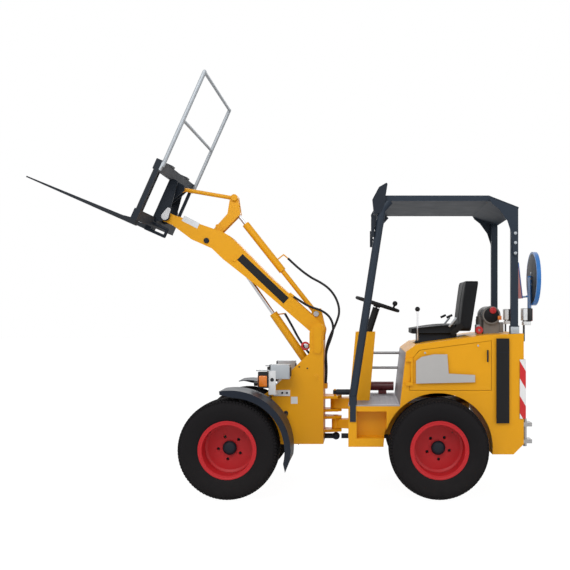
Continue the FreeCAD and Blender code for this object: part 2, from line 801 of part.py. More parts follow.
# ---------------------------------------------------------------- front frame
def front_frame():
    """Side plates with the boom tower, cross plates, pivot lugs and tilt ears."""
    plate_y = "frame_half - frame_wall / 2"
    inner = "(frame_half - frame_wall)"
    side_plate = slab("front_side_plate", [
        ("frame_back", "belly_height"),
        ("nose_low", "belly_height"),
        ("nose_low", "nose_high"),
        ("brow_low_x", "brow_low_z"),
        ("brow_mid_x", "brow_mid_z"),
        ("brow_top_x", "brow_top_z"),
        ("tower_front", "brow_top_z + 12"),
        ("tower_front", "pivot_z - 20"),
        ("pivot_x", "pivot_z + tower_eye", "90"),
        ("pivot_x - sqrt(tower_eye ^ 2 - 34 ^ 2)", "pivot_z + 34", "90"),
        ("frame_back", "pivot_z - 60"),
    ], "frame_wall", ("0", plate_y, "0"))
    back_web = block("front_back_web", ("frame_back", "frame_back + frame_wall"),
                     (f"-{inner}", inner), ("belly_height", "tower_neck"))
    belly_web = block("front_belly_web", ("frame_back", "nose_low - 1"),
                      (f"-{inner}", inner), ("belly_height + 1", "belly_height + frame_wall"))
    saddle = block("front_saddle", ("saddle_x", "nose_low - 1"), (f"-{inner}", inner),
                   ("saddle_high", "saddle_high + frame_wall"))
    front_web = block("front_web", ("saddle_x", "saddle_x + frame_wall"), (f"-{inner}", inner),
                      ("belly_height + 1", "saddle_high + frame_wall"))
    ear = slab("tilt_ear", [
        ("frame_back + 1", "tower_neck - 140"),
        ("ear_front", "tower_neck - 20"),
        ("ear_front", "ear_top"),
        ("ear_back", "ear_top"),
        ("ear_hip_x", "pivot_z - 7"),
        ("frame_back + 1", "tower_neck"),
    ], "ear_wall", ("0", "ear_half + ear_wall / 2", "0"))
    lugs = []
    for name, low in (("lower", "knuckle_low - lug_gap - lug_wall"),
                      ("middle", "knuckle_high + lug_gap"),
                      ("upper", "yoke_low - lug_gap - lug_wall"),
                      ("top", "yoke_high + lug_gap")):
        lugs.append(level(f"front_{name}_lug", [
            ("0", "-lug_half"), ("frame_back + 1", "-lug_half - 30"),
            ("frame_back + 1", "lug_half + 30"), ("0", "lug_half"),
            ("-lug_half * 0.8", "lug_half * 0.6"), ("-lug_half * 0.8", "-lug_half * 0.6"),
        ], low, f"{low} + lug_wall"))
    steer_bracket = level("steer_bracket", [
        ("-lug_half * 0.2", "lug_half * 0.5"), ("frame_back + 1", "lug_half * 0.5"),
        ("frame_back + 1", "frame_half - 20"), ("steer_x - 24", "steer_arm + 24"),
        ("steer_x - 24", "steer_arm - 24")],
        "yoke_high + lug_gap", "yoke_high + lug_gap + lug_wall")
    steer_post = upright("steer_post", "steer_x", "steer_arm", "steer_pin",
                         "yoke_high + lug_gap + 1", "steer_z + steer_eye + 8")
    stem = upright("pivot_pin_lower", "0", "0", "hinge_pin",
                   "knuckle_low - lug_gap - lug_wall - 5", "knuckle_high + lug_gap + lug_wall + 5")
    top_stem = upright("pivot_pin_upper", "0", "0", "hinge_pin",
                       "yoke_low - lug_gap - lug_wall - 5", "yoke_high + lug_gap + lug_wall + 5")
    lift_pin = across("lift_base_pin", "lift_base_x", "lift_base_z", "eye_pin",
                      "-frame_half - 4", "frame_half + 4")
    spacers = []
    for sign, low, high in (("left", "eye_half + side_gap", inner),
                            ("right", f"-{inner}", "-(eye_half + side_gap)")):
        spacers.append(across(f"lift_base_spacer_{sign}", "lift_base_x", "lift_base_z",
                              "eye_radius", low, high))
    manifold = block("hose_manifold", ("manifold_back", "frame_back + 1"),
                     ("manifold_right", "manifold_left"),
                     ("manifold_low", "manifold_high"))
    lift_socket = strut("lift_hose_socket",
                        ("frame_back + 1", "lift_socket_y", "lift_socket_z - socket_long / 2"),
                        ("frame_back + socket_long", "lift_socket_y", "lift_socket_z"),
                        "socket_radius")
    pin_bore = across("tower_bore", "pivot_x", "pivot_z", "pivot_pin", "-frame_half", "frame_half")
    ear_bore = across("ear_bore", "ear_x", "ear_z", "small_pin + run_fit",
                      "-frame_half", "frame_half")
    lashing = across("lashing_bore", "frame_back + 290", "belly_height + 238",
                     "small_pin", "-frame_half - 1", "frame_half + 1")
    shaft = leaning("front_shaft", ("0", "0", "shaft_z"), "0", "shaft_radius",
                    "20", "axle_reach - diff_radius + 10")
    shaft_ball = ball("front_shaft_joint", ("0", "0", "shaft_z"), "shaft_radius * 1.5")
    beam = doc.getObject("front_axle_beam")
    diff = doc.getObject("front_axle_diff")
    shaft_hole = leaning("front_shaft_hole", ("0", "0", "shaft_z"), "0", "shaft_radius + 12",
                         "frame_back - 5", "saddle_x + frame_wall + 5")
    solid = fuse("front_frame_solid", side_plate, mirror("front_side_plate_right", side_plate),
                 back_web, belly_web, saddle, front_web, ear, mirror("tilt_ear_right", ear),
                 *lugs, steer_bracket, manifold, lift_socket)
    bored = cut("front_frame_bored", solid, pin_bore, ear_bore, lashing, shaft_hole, beam, diff)
    node(fuse("front_frame", bored, steer_post, stem, top_stem, lift_pin, *spacers))
    node(cut("front_driveshaft", fuse("front_shaft_solid", shaft, shaft_ball), diff))


front_frame()


def boom_pin():
    """Boom pivot pin with a long keeper plate at each end."""
    pin = across("boom_pin_rod", "pivot_x", "pivot_z", "pivot_pin",
                 "-(frame_half + pin_head)", "frame_half + pin_head")
    keeper = slab("boom_pin_keeper", [
        ("pivot_x - pin_head_radius", "pivot_z - keeper_drop"),
        ("pivot_x", "pivot_z - keeper_drop - pin_head_radius", "pin_head_radius"),
        ("pivot_x + pin_head_radius", "pivot_z - keeper_drop", "pin_head_radius"),
        ("pivot_x + pin_head_radius", "pivot_z"),
        ("pivot_x", "pivot_z + pin_head_radius", "pin_head_radius"),
        ("pivot_x - pin_head_radius", "pivot_z", "pin_head_radius"),
    ], "pin_head", ("0", "frame_half + pin_head / 2", "0"))
    node(fuse("boom_pivot_pin", pin, keeper, mirror("boom_pin_keeper_right", keeper)))


boom_pin()


# ---------------------------------------------------------------- boom and linkage
def boom():
    """Banana-shaped boom: two side plates with webs, open under the lift rod."""
    at = ("pivot_x", "boom_half - boom_wall / 2", "pivot_z")
    plate = slab("boom_side_plate", [
        ("0", "-tail_depth"),
        ("waist_x", "-waist_low"),
        ("knee_back", "0"),
        ("knee_front - 20", "knee_low"),
        ("neck_x", "-neck_low"),
        ("boom_reach - 60", "-neck_low"),
        ("boom_reach", "-nose_round"),
        ("boom_reach + nose_round", "0", "nose_round"),
        ("boom_reach", "nose_round", "nose_round"),
        ("nose_back", "nose_top"),
        ("knee_front", "knee_high"),
        ("knee_back", "knee_high", "300"),
        ("waist_x", "waist_top"),
        ("0", "boom_tail"),
        ("-boom_tail", "0", "boom_tail"),
    ], "boom_wall", at, "boom_rise")
    inner = "boom_half - boom_wall"

    def web(name, start, end, drop, thick):
        """Cross web between the side plates, along a line of the boom's edge."""
        return slab(name, [
            (start[0], f"{start[1]} - {drop}"), (end[0], f"{end[1]} - {drop}"),
            (end[0], f"{end[1]} - {drop} + {thick}"), (start[0], f"{start[1]} - {drop} + {thick}"),
        ], f"2 * ({inner}) + 1", ("pivot_x", "0", "pivot_z"), "boom_rise")

    slope = "(waist_top - boom_tail) / waist_x"
    webs = [
        web("boom_top_web", ("top_web_from", f"boom_tail + top_web_from * {slope}"),
            ("waist_x", "waist_top"), "boom_wall + 4", "boom_wall"),
        web("boom_knee_web", ("waist_x - 1", "waist_top"),
            ("knee_back", "knee_high"), "boom_wall + 4", "boom_wall"),
        web("boom_crest_web", ("knee_back - 1", "knee_high"),
            ("top_web_to", "knee_high"), "boom_wall + 4", "boom_wall"),
        web("boom_nose_web", ("nose_web_from", "(knee_high + nose_top) / 2 - 4"),
            ("nose_back - 40", "nose_top + 12"), "boom_wall + 4", "boom_wall"),
        web("boom_chin_web", ("neck_x", "-neck_low"),
            ("boom_reach - 70", "-neck_low"), "-4", "boom_wall"),
    ]
    tail_boss = across("boom_tail_boss", "pivot_x", "pivot_z", "boss_radius",
                       f"{inner}", "frame_half - frame_wall - side_gap")
    lift_boss = across("boom_lift_boss", *LIFT_EYE, "boss_radius * 0.6",
                       "boom_half - 1", "boom_half + 5")
    crank_boss = across("boom_crank_boss", *CRANK, "crank_boss",
                        "crank_half + side_gap", f"{inner} + 1")
    nose_tube = across("boom_nose_tube", *NOSE, "nose_round - 6",
                       f"-({inner})", f"{inner}")
    tail_bore = across("boom_tail_bore", "pivot_x", "pivot_z", "pivot_pin + run_fit",
                       "-frame_half", "frame_half")
    crank_bore = across("boom_crank_bore", *CRANK, "small_pin + run_fit",
                        "-frame_half", "frame_half")
    nose_bore = across("boom_nose_bore", *NOSE, "eye_pin + run_fit",
                       "-frame_half", "frame_half")
    pieces = [plate, tail_boss, lift_boss, crank_boss]
    twins = [mirror(piece.Name + "_right", piece) for piece in pieces]
    x, z = along_boom("boom_port", "boom_port_z")
    root_x, root_z = along_boom("boom_port + socket_long * 1.5", "boom_port_z")
    socket = strut("boom_hose_socket", (root_x, "boom_port_y", root_z), (x, "boom_port_y", z),
                   "socket_radius")
    solid = fuse("boom_solid", *pieces, *twins, *webs, nose_tube, socket)
    node(cut("boom", solid, tail_bore, crank_bore, nose_bore))


boom()


def lift_cylinder():
    """Lift barrel on the tower and its chrome rod up to the boom."""
    dx = f"({LIFT_EYE[0]} - lift_base_x)"
    dz = f"({LIFT_EYE[1]} - lift_base_z)"
    rise = f"atan2({dz}; {dx}) / 1 deg"
    reach = f"sqrt({dx} ^ 2 + {dz} ^ 2)"
    base = ("lift_base_x", "0", "lift_base_z")
    tube = leaning("lift_tube", base, rise, "lift_barrel", "eye_radius - 4", "lift_barrel_end")
    base_eye = across("lift_base_eye", "lift_base_x", "lift_base_z", "eye_radius",
                      "-eye_half", "eye_half")
    bore = leaning("lift_bore", base, rise, "lift_bore", "eye_radius + 16",
                   "lift_barrel_end - gland")
    mouth = leaning("lift_mouth", base, rise, "lift_rod + run_fit", "lift_barrel_end - gland - 1",
                    "lift_barrel_end + 1")
    eye_bore = across("lift_base_bore", "lift_base_x", "lift_base_z", "eye_pin + run_fit",
                      "-eye_half - 1", "eye_half + 1")
    x, z = beside(LIFT_BASE, LIFT_EYE, "lift_port", "(lift_bore + 3)")
    end_x, end_z = beside(LIFT_BASE, LIFT_EYE, "lift_hose_from", "lift_hose_high")
    port = strut("lift_port_pipe", (x, "0", z), (end_x, "lift_hose_y", end_z), "pipe_radius")
    node(cut("lift_cylinder_barrel", fuse("lift_barrel_solid", tube, base_eye, port),
             bore, mouth, eye_bore))
    rod = leaning("lift_rod_shaft", base, rise, "lift_rod", "lift_rod_in",
                  f"{reach} - eye_radius + 6")
    eye = across("lift_rod_eye", *LIFT_EYE, "eye_radius", "-eye_half", "eye_half")
    pin = across("lift_rod_pin", *LIFT_EYE, "eye_pin",
                 "-(boom_half - boom_wall - side_gap)", "boom_half - boom_wall - side_gap")
    node(fuse("lift_cylinder_rod", rod, eye, pin))


lift_cylinder()


def tilt_cylinder():
    """Tilt barrel on its extension tube, base pin and chrome rod."""
    dx = "(crank_eye_x - ear_x)"
    dz = "(crank_eye_z - ear_z)"
    rise = f"atan2({dz}; {dx}) / 1 deg"
    reach = f"sqrt({dx} ^ 2 + {dz} ^ 2)"
    base = ("ear_x", "0", "ear_z")
    tube = leaning("tilt_tube_shaft", base, rise, "tilt_tube", "tilt_eye - 4",
                   "tilt_barrel_from + 5")
    barrel = leaning("tilt_barrel_tube", base, rise, "tilt_barrel", "tilt_barrel_from",
                     "tilt_barrel_end")
    eye = across("tilt_base_eye", "ear_x", "ear_z", "tilt_eye",
                 "-(ear_half - side_gap)", "ear_half - side_gap")
    bore = leaning("tilt_barrel_bore", base, rise, "tilt_bore", "tilt_barrel_from + 12",
                   "tilt_barrel_end - gland")
    mouth = leaning("tilt_mouth", base, rise, "tilt_rod + run_fit",
                    "tilt_barrel_end - gland - 1", "tilt_barrel_end + 1")
    eye_bore = across("tilt_base_bore", "ear_x", "ear_z", "small_pin + run_fit",
                      "-ear_half", "ear_half")
    x, z = beside(EAR, CRANK_EYE, "tilt_port", "(tilt_bore + 3)")
    bend_x, bend_z = beside(EAR, CRANK_EYE, "tilt_port", "tilt_port_high")
    end_x, end_z = beside(EAR, CRANK_EYE, "tilt_hose_from", "tilt_hose_high")
    port = strut("tilt_port_pipe", (x, "0", z), (bend_x, "0", bend_z), "pipe_radius")
    knee = ball("tilt_port_knee", (bend_x, "0", bend_z), "pipe_radius")
    return_pipe = strut("tilt_port_return", (bend_x, "0", bend_z), (end_x, "0", end_z),
                        "pipe_radius")
    node(cut("tilt_cylinder_barrel", fuse("tilt_barrel_solid", tube, barrel, eye,
                                          port, knee, return_pipe),
             bore, mouth, eye_bore))
    pin = across("tilt_base_rod", "ear_x", "ear_z", "small_pin",
                 "-(ear_half + ear_wall + 10)", "ear_half + ear_wall + 10")
    collar = across("tilt_base_head", "ear_x", "ear_z", "small_pin * 1.5",
                    "ear_half + ear_wall + side_gap", "ear_half + ear_wall + 10")
    node(fuse("tilt_base_pin", pin, collar, mirror("tilt_base_head_right", collar)))
    rod = leaning("tilt_rod_shaft", base, rise, "tilt_rod", "tilt_rod_in",
                  f"{reach} - tilt_eye + 6")
    eye = across("tilt_rod_eye", "crank_eye_x", "crank_eye_z", "tilt_eye",
                 "-(crank_half - crank_wall - 10)", "crank_half - crank_wall - 10")
    stud = across("tilt_rod_pin", "crank_eye_x", "crank_eye_z", "small_pin",
                  "-(crank_half - crank_wall - side_gap)", "crank_half - crank_wall - side_gap")
    node(fuse("tilt_cylinder_rod", rod, eye, stud))


tilt_cylinder()


def bell_crank():
    """Two crank plates on the boom, with their pivot and top pins."""
    width = "crank_boss"
    plate = slab("crank_plate", [
        (f"{CRANK[0]} - {width} * 0.6", f"{CRANK[1]} - {width} * 0.8"),
        (f"{CRANK[0]} + {width} * 0.6", f"{CRANK[1]} - {width} * 0.8"),
        (f"{CRANK[0]} + {width}", f"{CRANK[1]} + {width} * 0.4"),
        (f"crank_top_x + {width} + 25", "crank_eye_z - 5"),
        (f"crank_top_x + {width} + 8", "crank_top_z - 20"),
        (f"crank_top_x + {width} * 0.6", f"crank_top_z + {width} * 0.7"),
        (f"crank_top_x - {width} * 0.6", f"crank_top_z + {width} * 0.7"),
        (f"crank_top_x - {width}", "crank_top_z - 10"),
        (f"crank_eye_x - {width}", "crank_eye_z - 8"),
        (f"crank_eye_x - {width} * 0.2", f"crank_eye_z - {width}"),
    ], "crank_wall", ("0", "crank_half - crank_wall / 2", "0"))
    tie_x = f"(({CRANK[0]}) * 0.5 + crank_eye_x * 0.5 + 40)"
    tie_z = f"(({CRANK[1]}) * 0.5 + crank_eye_z * 0.5 + 10)"
    spacer = across("crank_spacer", tie_x, tie_z, "small_pin",
                    "-(crank_half - 2)", "crank_half - 2")
    hub = across("crank_hub", *CRANK, "crank_boss * 0.8", "-(crank_half - 1)", "crank_half - 1")
    pivot_bore = across("crank_pivot_bore", *CRANK, "small_pin + run_fit",
                        "-crank_half - 1", "crank_half + 1")
    top_bore = across("crank_top_bore", "crank_top_x", "crank_top_z", "small_pin + run_fit",
                      "-crank_half - 1", "crank_half + 1")
    solid = fuse("crank_solid", plate, mirror("crank_plate_right", plate), spacer, hub)
    node(cut("bell_crank", solid, pivot_bore, top_bore))
    head = across("crank_pin_head", *CRANK, "pivot_head",
                  "boom_half + side_gap", "boom_half + head_long")
    rod = across("crank_pin_rod", *CRANK, "small_pin",
                 "-(boom_half + head_long)", "boom_half + head_long")
    node(fuse("crank_pivot_pin", rod, head, mirror("crank_pin_head_right", head)))
    cap = across("crank_top_head", "crank_top_x", "crank_top_z", "top_head",
                 "crank_half + side_gap", "crank_half + head_long")
    top_rod = across("crank_top_rod", "crank_top_x", "crank_top_z", "small_pin",
                     "-(crank_half + head_long)", "crank_half + head_long")
    node(fuse("crank_top_pin", top_rod, cap, mirror("crank_top_head_right", cap)))


bell_crank()


def tilt_link():
    """Push bar from the crank to the hitch, with an eye at each end."""
    eye_wide = "(crank_half - crank_wall - side_gap)"
    rear_eye = across("link_rear_eye", "crank_top_x", "crank_top_z", "tilt_eye",
                      f"-{eye_wide}", eye_wide)
    front_eye = across("link_front_eye", *LINK_END, "tilt_eye * 0.9",
                       f"-{eye_wide} + 4", f"{eye_wide} - 4")
    stud = across("link_front_pin", *LINK_END, "small_pin",
                  "-(crank_half - crank_wall)", "crank_half - crank_wall")
    bar = strut("link_bar", ("crank_top_x", "0", "crank_top_z"),
                (LINK_END[0], "0", LINK_END[1]), "link_radius")
    bore = across("link_bore", "crank_top_x", "crank_top_z", "small_pin + run_fit",
                  "-crank_half", "crank_half")
    node(cut("tilt_link", fuse("tilt_link_solid", rear_eye, front_eye, stud, bar), bore))


tilt_link()


def nose_pin():
    """Hitch pivot pin with a teardrop keeper at each end."""
    rod = across("nose_pin_rod", *NOSE, "eye_pin",
                 "-(hitch_half + hitch_wall + 6)", "hitch_half + hitch_wall + 6")
    head = slab("nose_keeper", [
        ("hitch_ear * 0.2 - hitch_ear", "0"),
        ("0", "-hitch_ear * 0.9", "hitch_ear"),
        ("hitch_ear * 0.9", "0", "hitch_ear"),
        ("hitch_ear * 0.3", "hitch_ear * 2"),
        ("-hitch_ear * 0.5", "hitch_ear * 2", "hitch_ear * 0.7"),
    ], "6", (NOSE[0], "hitch_half + hitch_wall + side_gap + 3", NOSE[1]), "fork_rise")
    node(fuse("nose_pin", rod, head, mirror("nose_keeper_right", head)))


nose_pin()


# ---------------------------------------------------------------- forks
FORK_FRAME = (NOSE[0], "0", NOSE[1])


def fork_block(name, xs, ys, zs):
    """Box in the forks' own frame, whose origin is the hitch pivot."""
    low, high = zs
    return slab(name, [(xs[0], low), (xs[1], low), (xs[1], high), (xs[0], high)],
                f"({ys[1]}) - ({ys[0]})",
                (NOSE[0], f"(({ys[0]}) + ({ys[1]})) / 2", NOSE[1]), "fork_rise")


def fork_bar(name, x, z, radius, low, high):
    """Round bar along Y in the forks' own frame."""
    return across(name, *along_forks(x, z), radius, low, high)


def hitch():
    """Quick hitch: side cheeks round the boom nose, a face plate and link cheeks."""
    cheek = slab("hitch_cheek", [
        ("-hitch_ear", "0"),
        ("0", "-hitch_ear", "hitch_ear"),
        ("hitch_face", "-hitch_low"),
        ("hitch_face", "hitch_top + 40"),
        ("hitch_face - 40", "hitch_top + 40"),
        ("-hitch_ear * 0.3", "hitch_ear * 2.4"),
    ], "hitch_wall", (NOSE[0], "hitch_half + hitch_wall / 2", NOSE[1]), "fork_rise")
    link_cheek = slab("link_cheek", [
        ("hitch_face - 30", "hitch_top - 130"),
        ("hitch_face", "hitch_top - 130"),
        ("hitch_face", "hitch_top + 40"),
        ("-20", "hitch_top + 32"),
        ("-32", "hitch_top"),
        ("-20", "hitch_top - 30"),
    ], "crank_wall", (NOSE[0], "crank_half - crank_wall / 2 + 6", NOSE[1]), "fork_rise")
    face = fork_block("hitch_face_plate", ("hitch_face - 14", "hitch_face"),
                      ("-hitch_half - 2", "hitch_half + 2"), ("hitch_top - 140", "hitch_top + 40"))
    foot = fork_block("hitch_foot_plate", ("hitch_face - 12", "hitch_face"),
                      ("-hitch_half - 2", "hitch_half + 2"), ("-hitch_low", "-hitch_low + 14"))
    bore = across("hitch_bore", *NOSE, "eye_pin + run_fit", "-hitch_half * 2", "hitch_half * 2")
    solid = fuse("hitch_solid", cheek, mirror("hitch_cheek_right", cheek),
                 link_cheek, mirror("link_cheek_right", link_cheek), face, foot)
    node(cut("quick_hitch", solid, bore))


hitch()


def carriage():
    """Fork carriage: two cross bars, upright posts and the latch loop on the left."""
    front = "hitch_face + carriage_wall"
    bars = []
    for name, z in (("upper", "upper_bar"), ("lower", "lower_bar")):
        bars.append(fork_block(f"carriage_{name}_bar", ("hitch_face", front),
                               ("-rack_half", "rack_half"),
                               (f"{z} - bar_high / 2", f"{z} + bar_high / 2")))
    posts = []
    for name, y in (("left", "rack_half - 12"), ("inner_left", "hitch_half")):
        post = fork_block(f"carriage_post_{name}", ("hitch_face", "hitch_face + 24"),
                          (f"{y} - 12", f"{y} + 12"), ("lower_bar", "upper_bar"))
        posts += [post, mirror(f"{post.Name}_twin", post)]
    low = "fork_sole + loop_tube"
    corners = [("hitch_face + 10", low), ("loop_back", low), ("loop_back", "loop_top"),
               ("hitch_face + 10", "loop_top")]
    world = [flat(x, z, "loop_y") for x, z in corners]
    loop_parts = [strut(f"carriage_loop_{number}", start, end, "loop_tube")
                  for number, (start, end) in enumerate(zip(world, world[1:]))]
    loop_parts += [ball(f"carriage_loop_bend_{number}", corner, "loop_tube")
                   for number, corner in enumerate(world[1:3])]
    hanger = fork_block("carriage_hanger", ("hitch_face", front),
                        ("loop_y - 14", "loop_y + 14"),
                        ("fork_sole", "lower_bar"))
    node(fuse("fork_carriage", *bars, *posts, *loop_parts, hanger))


carriage()


def forks():
    """Pair of pallet forks with tapered blades and upper hooks."""
    front = "hitch_face + carriage_wall"
    fork = slab("fork_side", [
        ("fork_heel", "fork_sole"),
        ("fork_tip", "fork_sole"),
        ("fork_tip", "fork_sole + fork_tip_thick"),
        ("fork_heel + fork_thick * 3", "fork_sole + fork_thick"),
        ("fork_heel + fork_thick", "fork_sole + fork_thick + 12"),
        ("fork_heel + fork_thick", "fork_top"),
        ("hitch_face - hook_long * 0.2", "fork_top"),
        ("hitch_face - hook_long * 0.2", "upper_bar + bar_high / 2"),
        (front, "upper_bar + bar_high / 2"),
        (front, "upper_bar - bar_high * 0.4"),
        ("fork_heel", "upper_bar - bar_high * 0.4"),
        ("fork_heel", "lower_bar + bar_high * 0.4"),
        (front, "lower_bar + bar_high * 0.4"),
        (front, "lower_bar - bar_high * 0.4"),
        ("fork_heel", "lower_bar - bar_high * 0.4"),
    ], "fork_wide", (NOSE[0], "fork_gap", NOSE[1]), "fork_rise")
    node(both("pallet_forks", fork))


forks()


def load_guard():
    """Tubular backrest standing on the carriage."""
    foot = "upper_bar"
    corner_at = flat("guard_x", "guard_top", "rack_half - guard_tube")
    post = strut("guard_post", flat("guard_x", foot, "rack_half - guard_tube"), corner_at,
                 "guard_tube")
    rails = [fork_bar(f"guard_{name}_rail", "guard_x", z, "guard_tube * 0.8",
                      "-(rack_half - guard_tube)", "rack_half - guard_tube")
             for name, z in (("middle", "guard_mid"), ("top", "guard_top"))]
    corner = ball("guard_corner", corner_at, "guard_tube")
    shoe = fork_block("guard_shoe", ("guard_x", "hitch_face"),
                      ("rack_half - 2 * guard_tube", "rack_half"),
                      ("upper_bar - bar_high * 0.4", "upper_bar + bar_high * 0.4"))
    solid = fuse("load_guard_solid", post, mirror("guard_post_right", post), *rails,
                 corner, mirror("guard_corner_right", corner), shoe,
                 mirror("guard_shoe_right", shoe))
    node(cut("load_guard", solid, doc.getObject("fork_carriage")))


load_guard()


# ---------------------------------------------------------------- front fittings
def hoses():
    """Pressure hoses from the tower to the tilt cylinder, the boom and the lift cylinder."""
    drop, foot = "hose_drop_x", "manifold_high + hose_seat"
    x, z = beside(EAR, CRANK_EYE, "(tilt_hose_from - hose_seat)", "tilt_hose_high")
    node(hose("tilt_hose", [
        (x, "0", z), ("ear_x + 96", "2", "ear_z + 313"), ("ear_x - 77", "5", "ear_z + 227"),
        ("ear_x - 156", "8", "ear_z + 132"), ("ear_x - 187", "10", "ear_z + 22"),
        ("ear_x - 156", "10", "ear_z - 76"), (f"{drop} - 36", "10", "ear_z - 166"),
        (f"{drop} - 6", "10", "ear_z - 250"), (drop, "10", f"{foot} + 200"),
        (f"{drop} - 8", "10", f"{foot} + 100"), (drop, "10", foot),
    ]))
    x, z = along_boom("boom_port - hose_seat", "boom_port_z")
    node(hose("boom_hose", [
        (x, "boom_port_y", z), ("ear_x + 130", "91", "ear_z + 105"),
        ("ear_x + 50", "88", "ear_z + 55"), ("ear_x - 40", "84", "ear_z + 30"),
        ("ear_x - 110", "80", "ear_z - 20"), ("ear_x - 141", "76", "ear_z - 105"),
        (f"{drop} - 42", "73", "ear_z - 195"), (f"{drop} - 8", "70", "ear_z - 280"),
        (f"{drop} + 1", "67", f"{foot} + 170"), (f"{drop} - 6", "65", f"{foot} + 85"),
        (drop, "65", foot),
    ]))
    x, z = beside(LIFT_BASE, LIFT_EYE, "lift_hose_from", "(lift_hose_high + hose_seat)")
    node(hose("lift_hose", [
        (x, "lift_hose_y", z), ("lift_base_x + 198", "28", "lift_base_z + 409"),
        ("lift_base_x + 148", "34", "lift_base_z + 312"),
        ("lift_base_x + 96", "40", "lift_base_z + 232"),
        ("lift_base_x + 36", "48", "lift_base_z + 157"),
        ("frame_back + socket_long + hose_seat", "lift_socket_y", "lift_socket_z + hose_seat / 2"),
    ]))


hoses()


def mudguards():
    """Rolled mudguards over the front tyres, each with an outer skirt and two arms."""
    def spot(radius, turn):
        return (f"axle_reach - guard_back + ({radius}) * cos({turn})",
                f"tyre_radius - guard_drop + ({radius}) * sin({turn})")
    outer = "guard_radius"
    inner = "(guard_radius - guard_wall)"
    roll = slab("mudguard_roll", [
        spot(outer, "guard_from"), (*spot(outer, "guard_to"), outer),
        spot(inner, "guard_to"), (*spot(inner, "guard_from"), f"-{inner}"),
    ], "guard_wide - guard_in", ("0", "(guard_wide + guard_in) / 2", "0"))
    skirt = slab("mudguard_skirt", [
        spot(outer, "guard_from"), (*spot(outer, "guard_to"), outer),
        spot("guard_tip_radius", "guard_tip"),
        spot("guard_skirt + 8", "guard_to + 4"),
        (*spot("guard_skirt", "guard_from + 14"), "-guard_skirt"),
        spot("guard_radius - 25", "guard_from"),
    ], "guard_wall", ("0", "guard_wide - guard_wall / 2", "0"))
    arms = [across(f"mudguard_arm_{turn}", *spot("guard_radius - guard_arm - 2", turn),
                   "guard_arm", "frame_half", "guard_in + guard_arm")
            for turn in ("125", "150")]
    node(both("front_mudguards", fuse("mudguard_left", roll, skirt, *arms)))


mudguards()


def headlamps():
    """Lamp box, indicator and side marker on a plate, bracketed to the frame's brow."""
    plate_in = "lamp_out - guard_wall"
    box = block("lamp_box", ("lamp_face - lamp_long", "lamp_face"), ("lamp_in", plate_in),
                ("lamp_low", "lamp_low + lamp_high"))
    plate = block("lamp_plate", ("lamp_face - 49", "lamp_face + 4"), (plate_in, "lamp_out"),
                  ("plate_low", "plate_high"))
    signal = block("lamp_signal", ("lamp_face + 4", "signal_front"),
                   ("lamp_out - 40", "lamp_out + 10"), ("signal_low", "signal_high"))
    marker = leaning("lamp_marker", ("signal_front", "lamp_out - 15", "marker_z"), "0", "20",
                     "-5", "marker_front - signal_front")
    visor = block("lamp_visor", ("lamp_face - 10", "signal_front + 15"),
                  ("lamp_out - 40", "lamp_out + 4"), ("plate_high - 1", "plate_high + 5"))
    arm = block("lamp_arm", ("lamp_face - 49", "lamp_face - 19"), ("frame_half", plate_in),
                ("plate_low", "plate_low + 23"))
    foot = block("lamp_foot", ("lamp_face - 145", "lamp_face - 19"),
                 ("frame_half", "frame_half + 8"), ("plate_low - 23", "plate_low + 23"))
    lamp = fuse("headlamp_left", box, plate, signal, marker, visor, arm, foot)
    node(both("headlamps", lamp))


headlamps()


# ---------------------------------------------------------------- steering
def steering():
    """Steering cylinder between the front bracket and the console."""
    barrel = doc.addObject("Part::Cylinder", "steer_tube")
    bore = doc.addObject("Part::Cylinder", "steer_tube_bore")
    mouth = doc.addObject("Part::Cylinder", "steer_tube_mouth")
    rod = doc.addObject("Part::Cylinder", "steer_rod_shaft")
    dx = "(steer_base_x - steer_x)"
    dy = "(steer_base_y - steer_arm)"
    heading = f"atan2({dy}; {dx}) / 1 deg"
    reach = f"sqrt({dx} ^ 2 + {dy} ^ 2)"
    for piece, radius, low, high in (
            (barrel, "steer_barrel", "steer_eye - 3", "steer_barrel_end"),
            (bore, "steer_bore", "steer_eye + 5", "steer_barrel_end - gland"),
            (mouth, "steer_rod + run_fit", "steer_barrel_end - gland - 1",
             "steer_barrel_end + 1"),
            (rod, "steer_rod", "steer_rod_in", f"{reach} - steer_eye + 4")):
        tie(piece, "Radius", radius)
        tie(piece, "Height", f"({high}) - ({low})")
        aim = Rotation(Vector(0, 0, 1), value(heading)).multiply(Rotation(Vector(0, 1, 0), 90))
        piece.Placement = Placement(Vector(), aim)
        tie(piece, "Placement.Base.x", f"steer_x + ({low}) * cos({heading})")
        tie(piece, "Placement.Base.y", f"steer_arm + ({low}) * sin({heading})")
        tie(piece, "Placement.Base.z", "steer_z")
    eye = upright("steer_eye_ring", "steer_x", "steer_arm", "steer_eye",
                  "steer_z - steer_eye", "steer_z + steer_eye")
    eye_bore = upright("steer_eye_bore", "steer_x", "steer_arm", "steer_pin + run_fit",
                       "steer_z - steer_eye - 1", "steer_z + steer_eye + 1")
    node(cut("steering_cylinder_barrel", fuse("steer_barrel_solid", barrel, eye),
             bore, mouth, eye_bore))
    base_eye = upright("steer_rod_eye", "steer_base_x", "steer_base_y", "steer_eye",
                       "steer_z - 12", "steer_z + 12")
    pin = upright("steer_rod_pin", "steer_base_x", "steer_base_y", "steer_pin",
                  "steer_z - steer_barrel - 2", "steer_z + steer_barrel + 2")
    node(fuse("steering_cylinder_rod", rod, base_eye, pin))


steering()


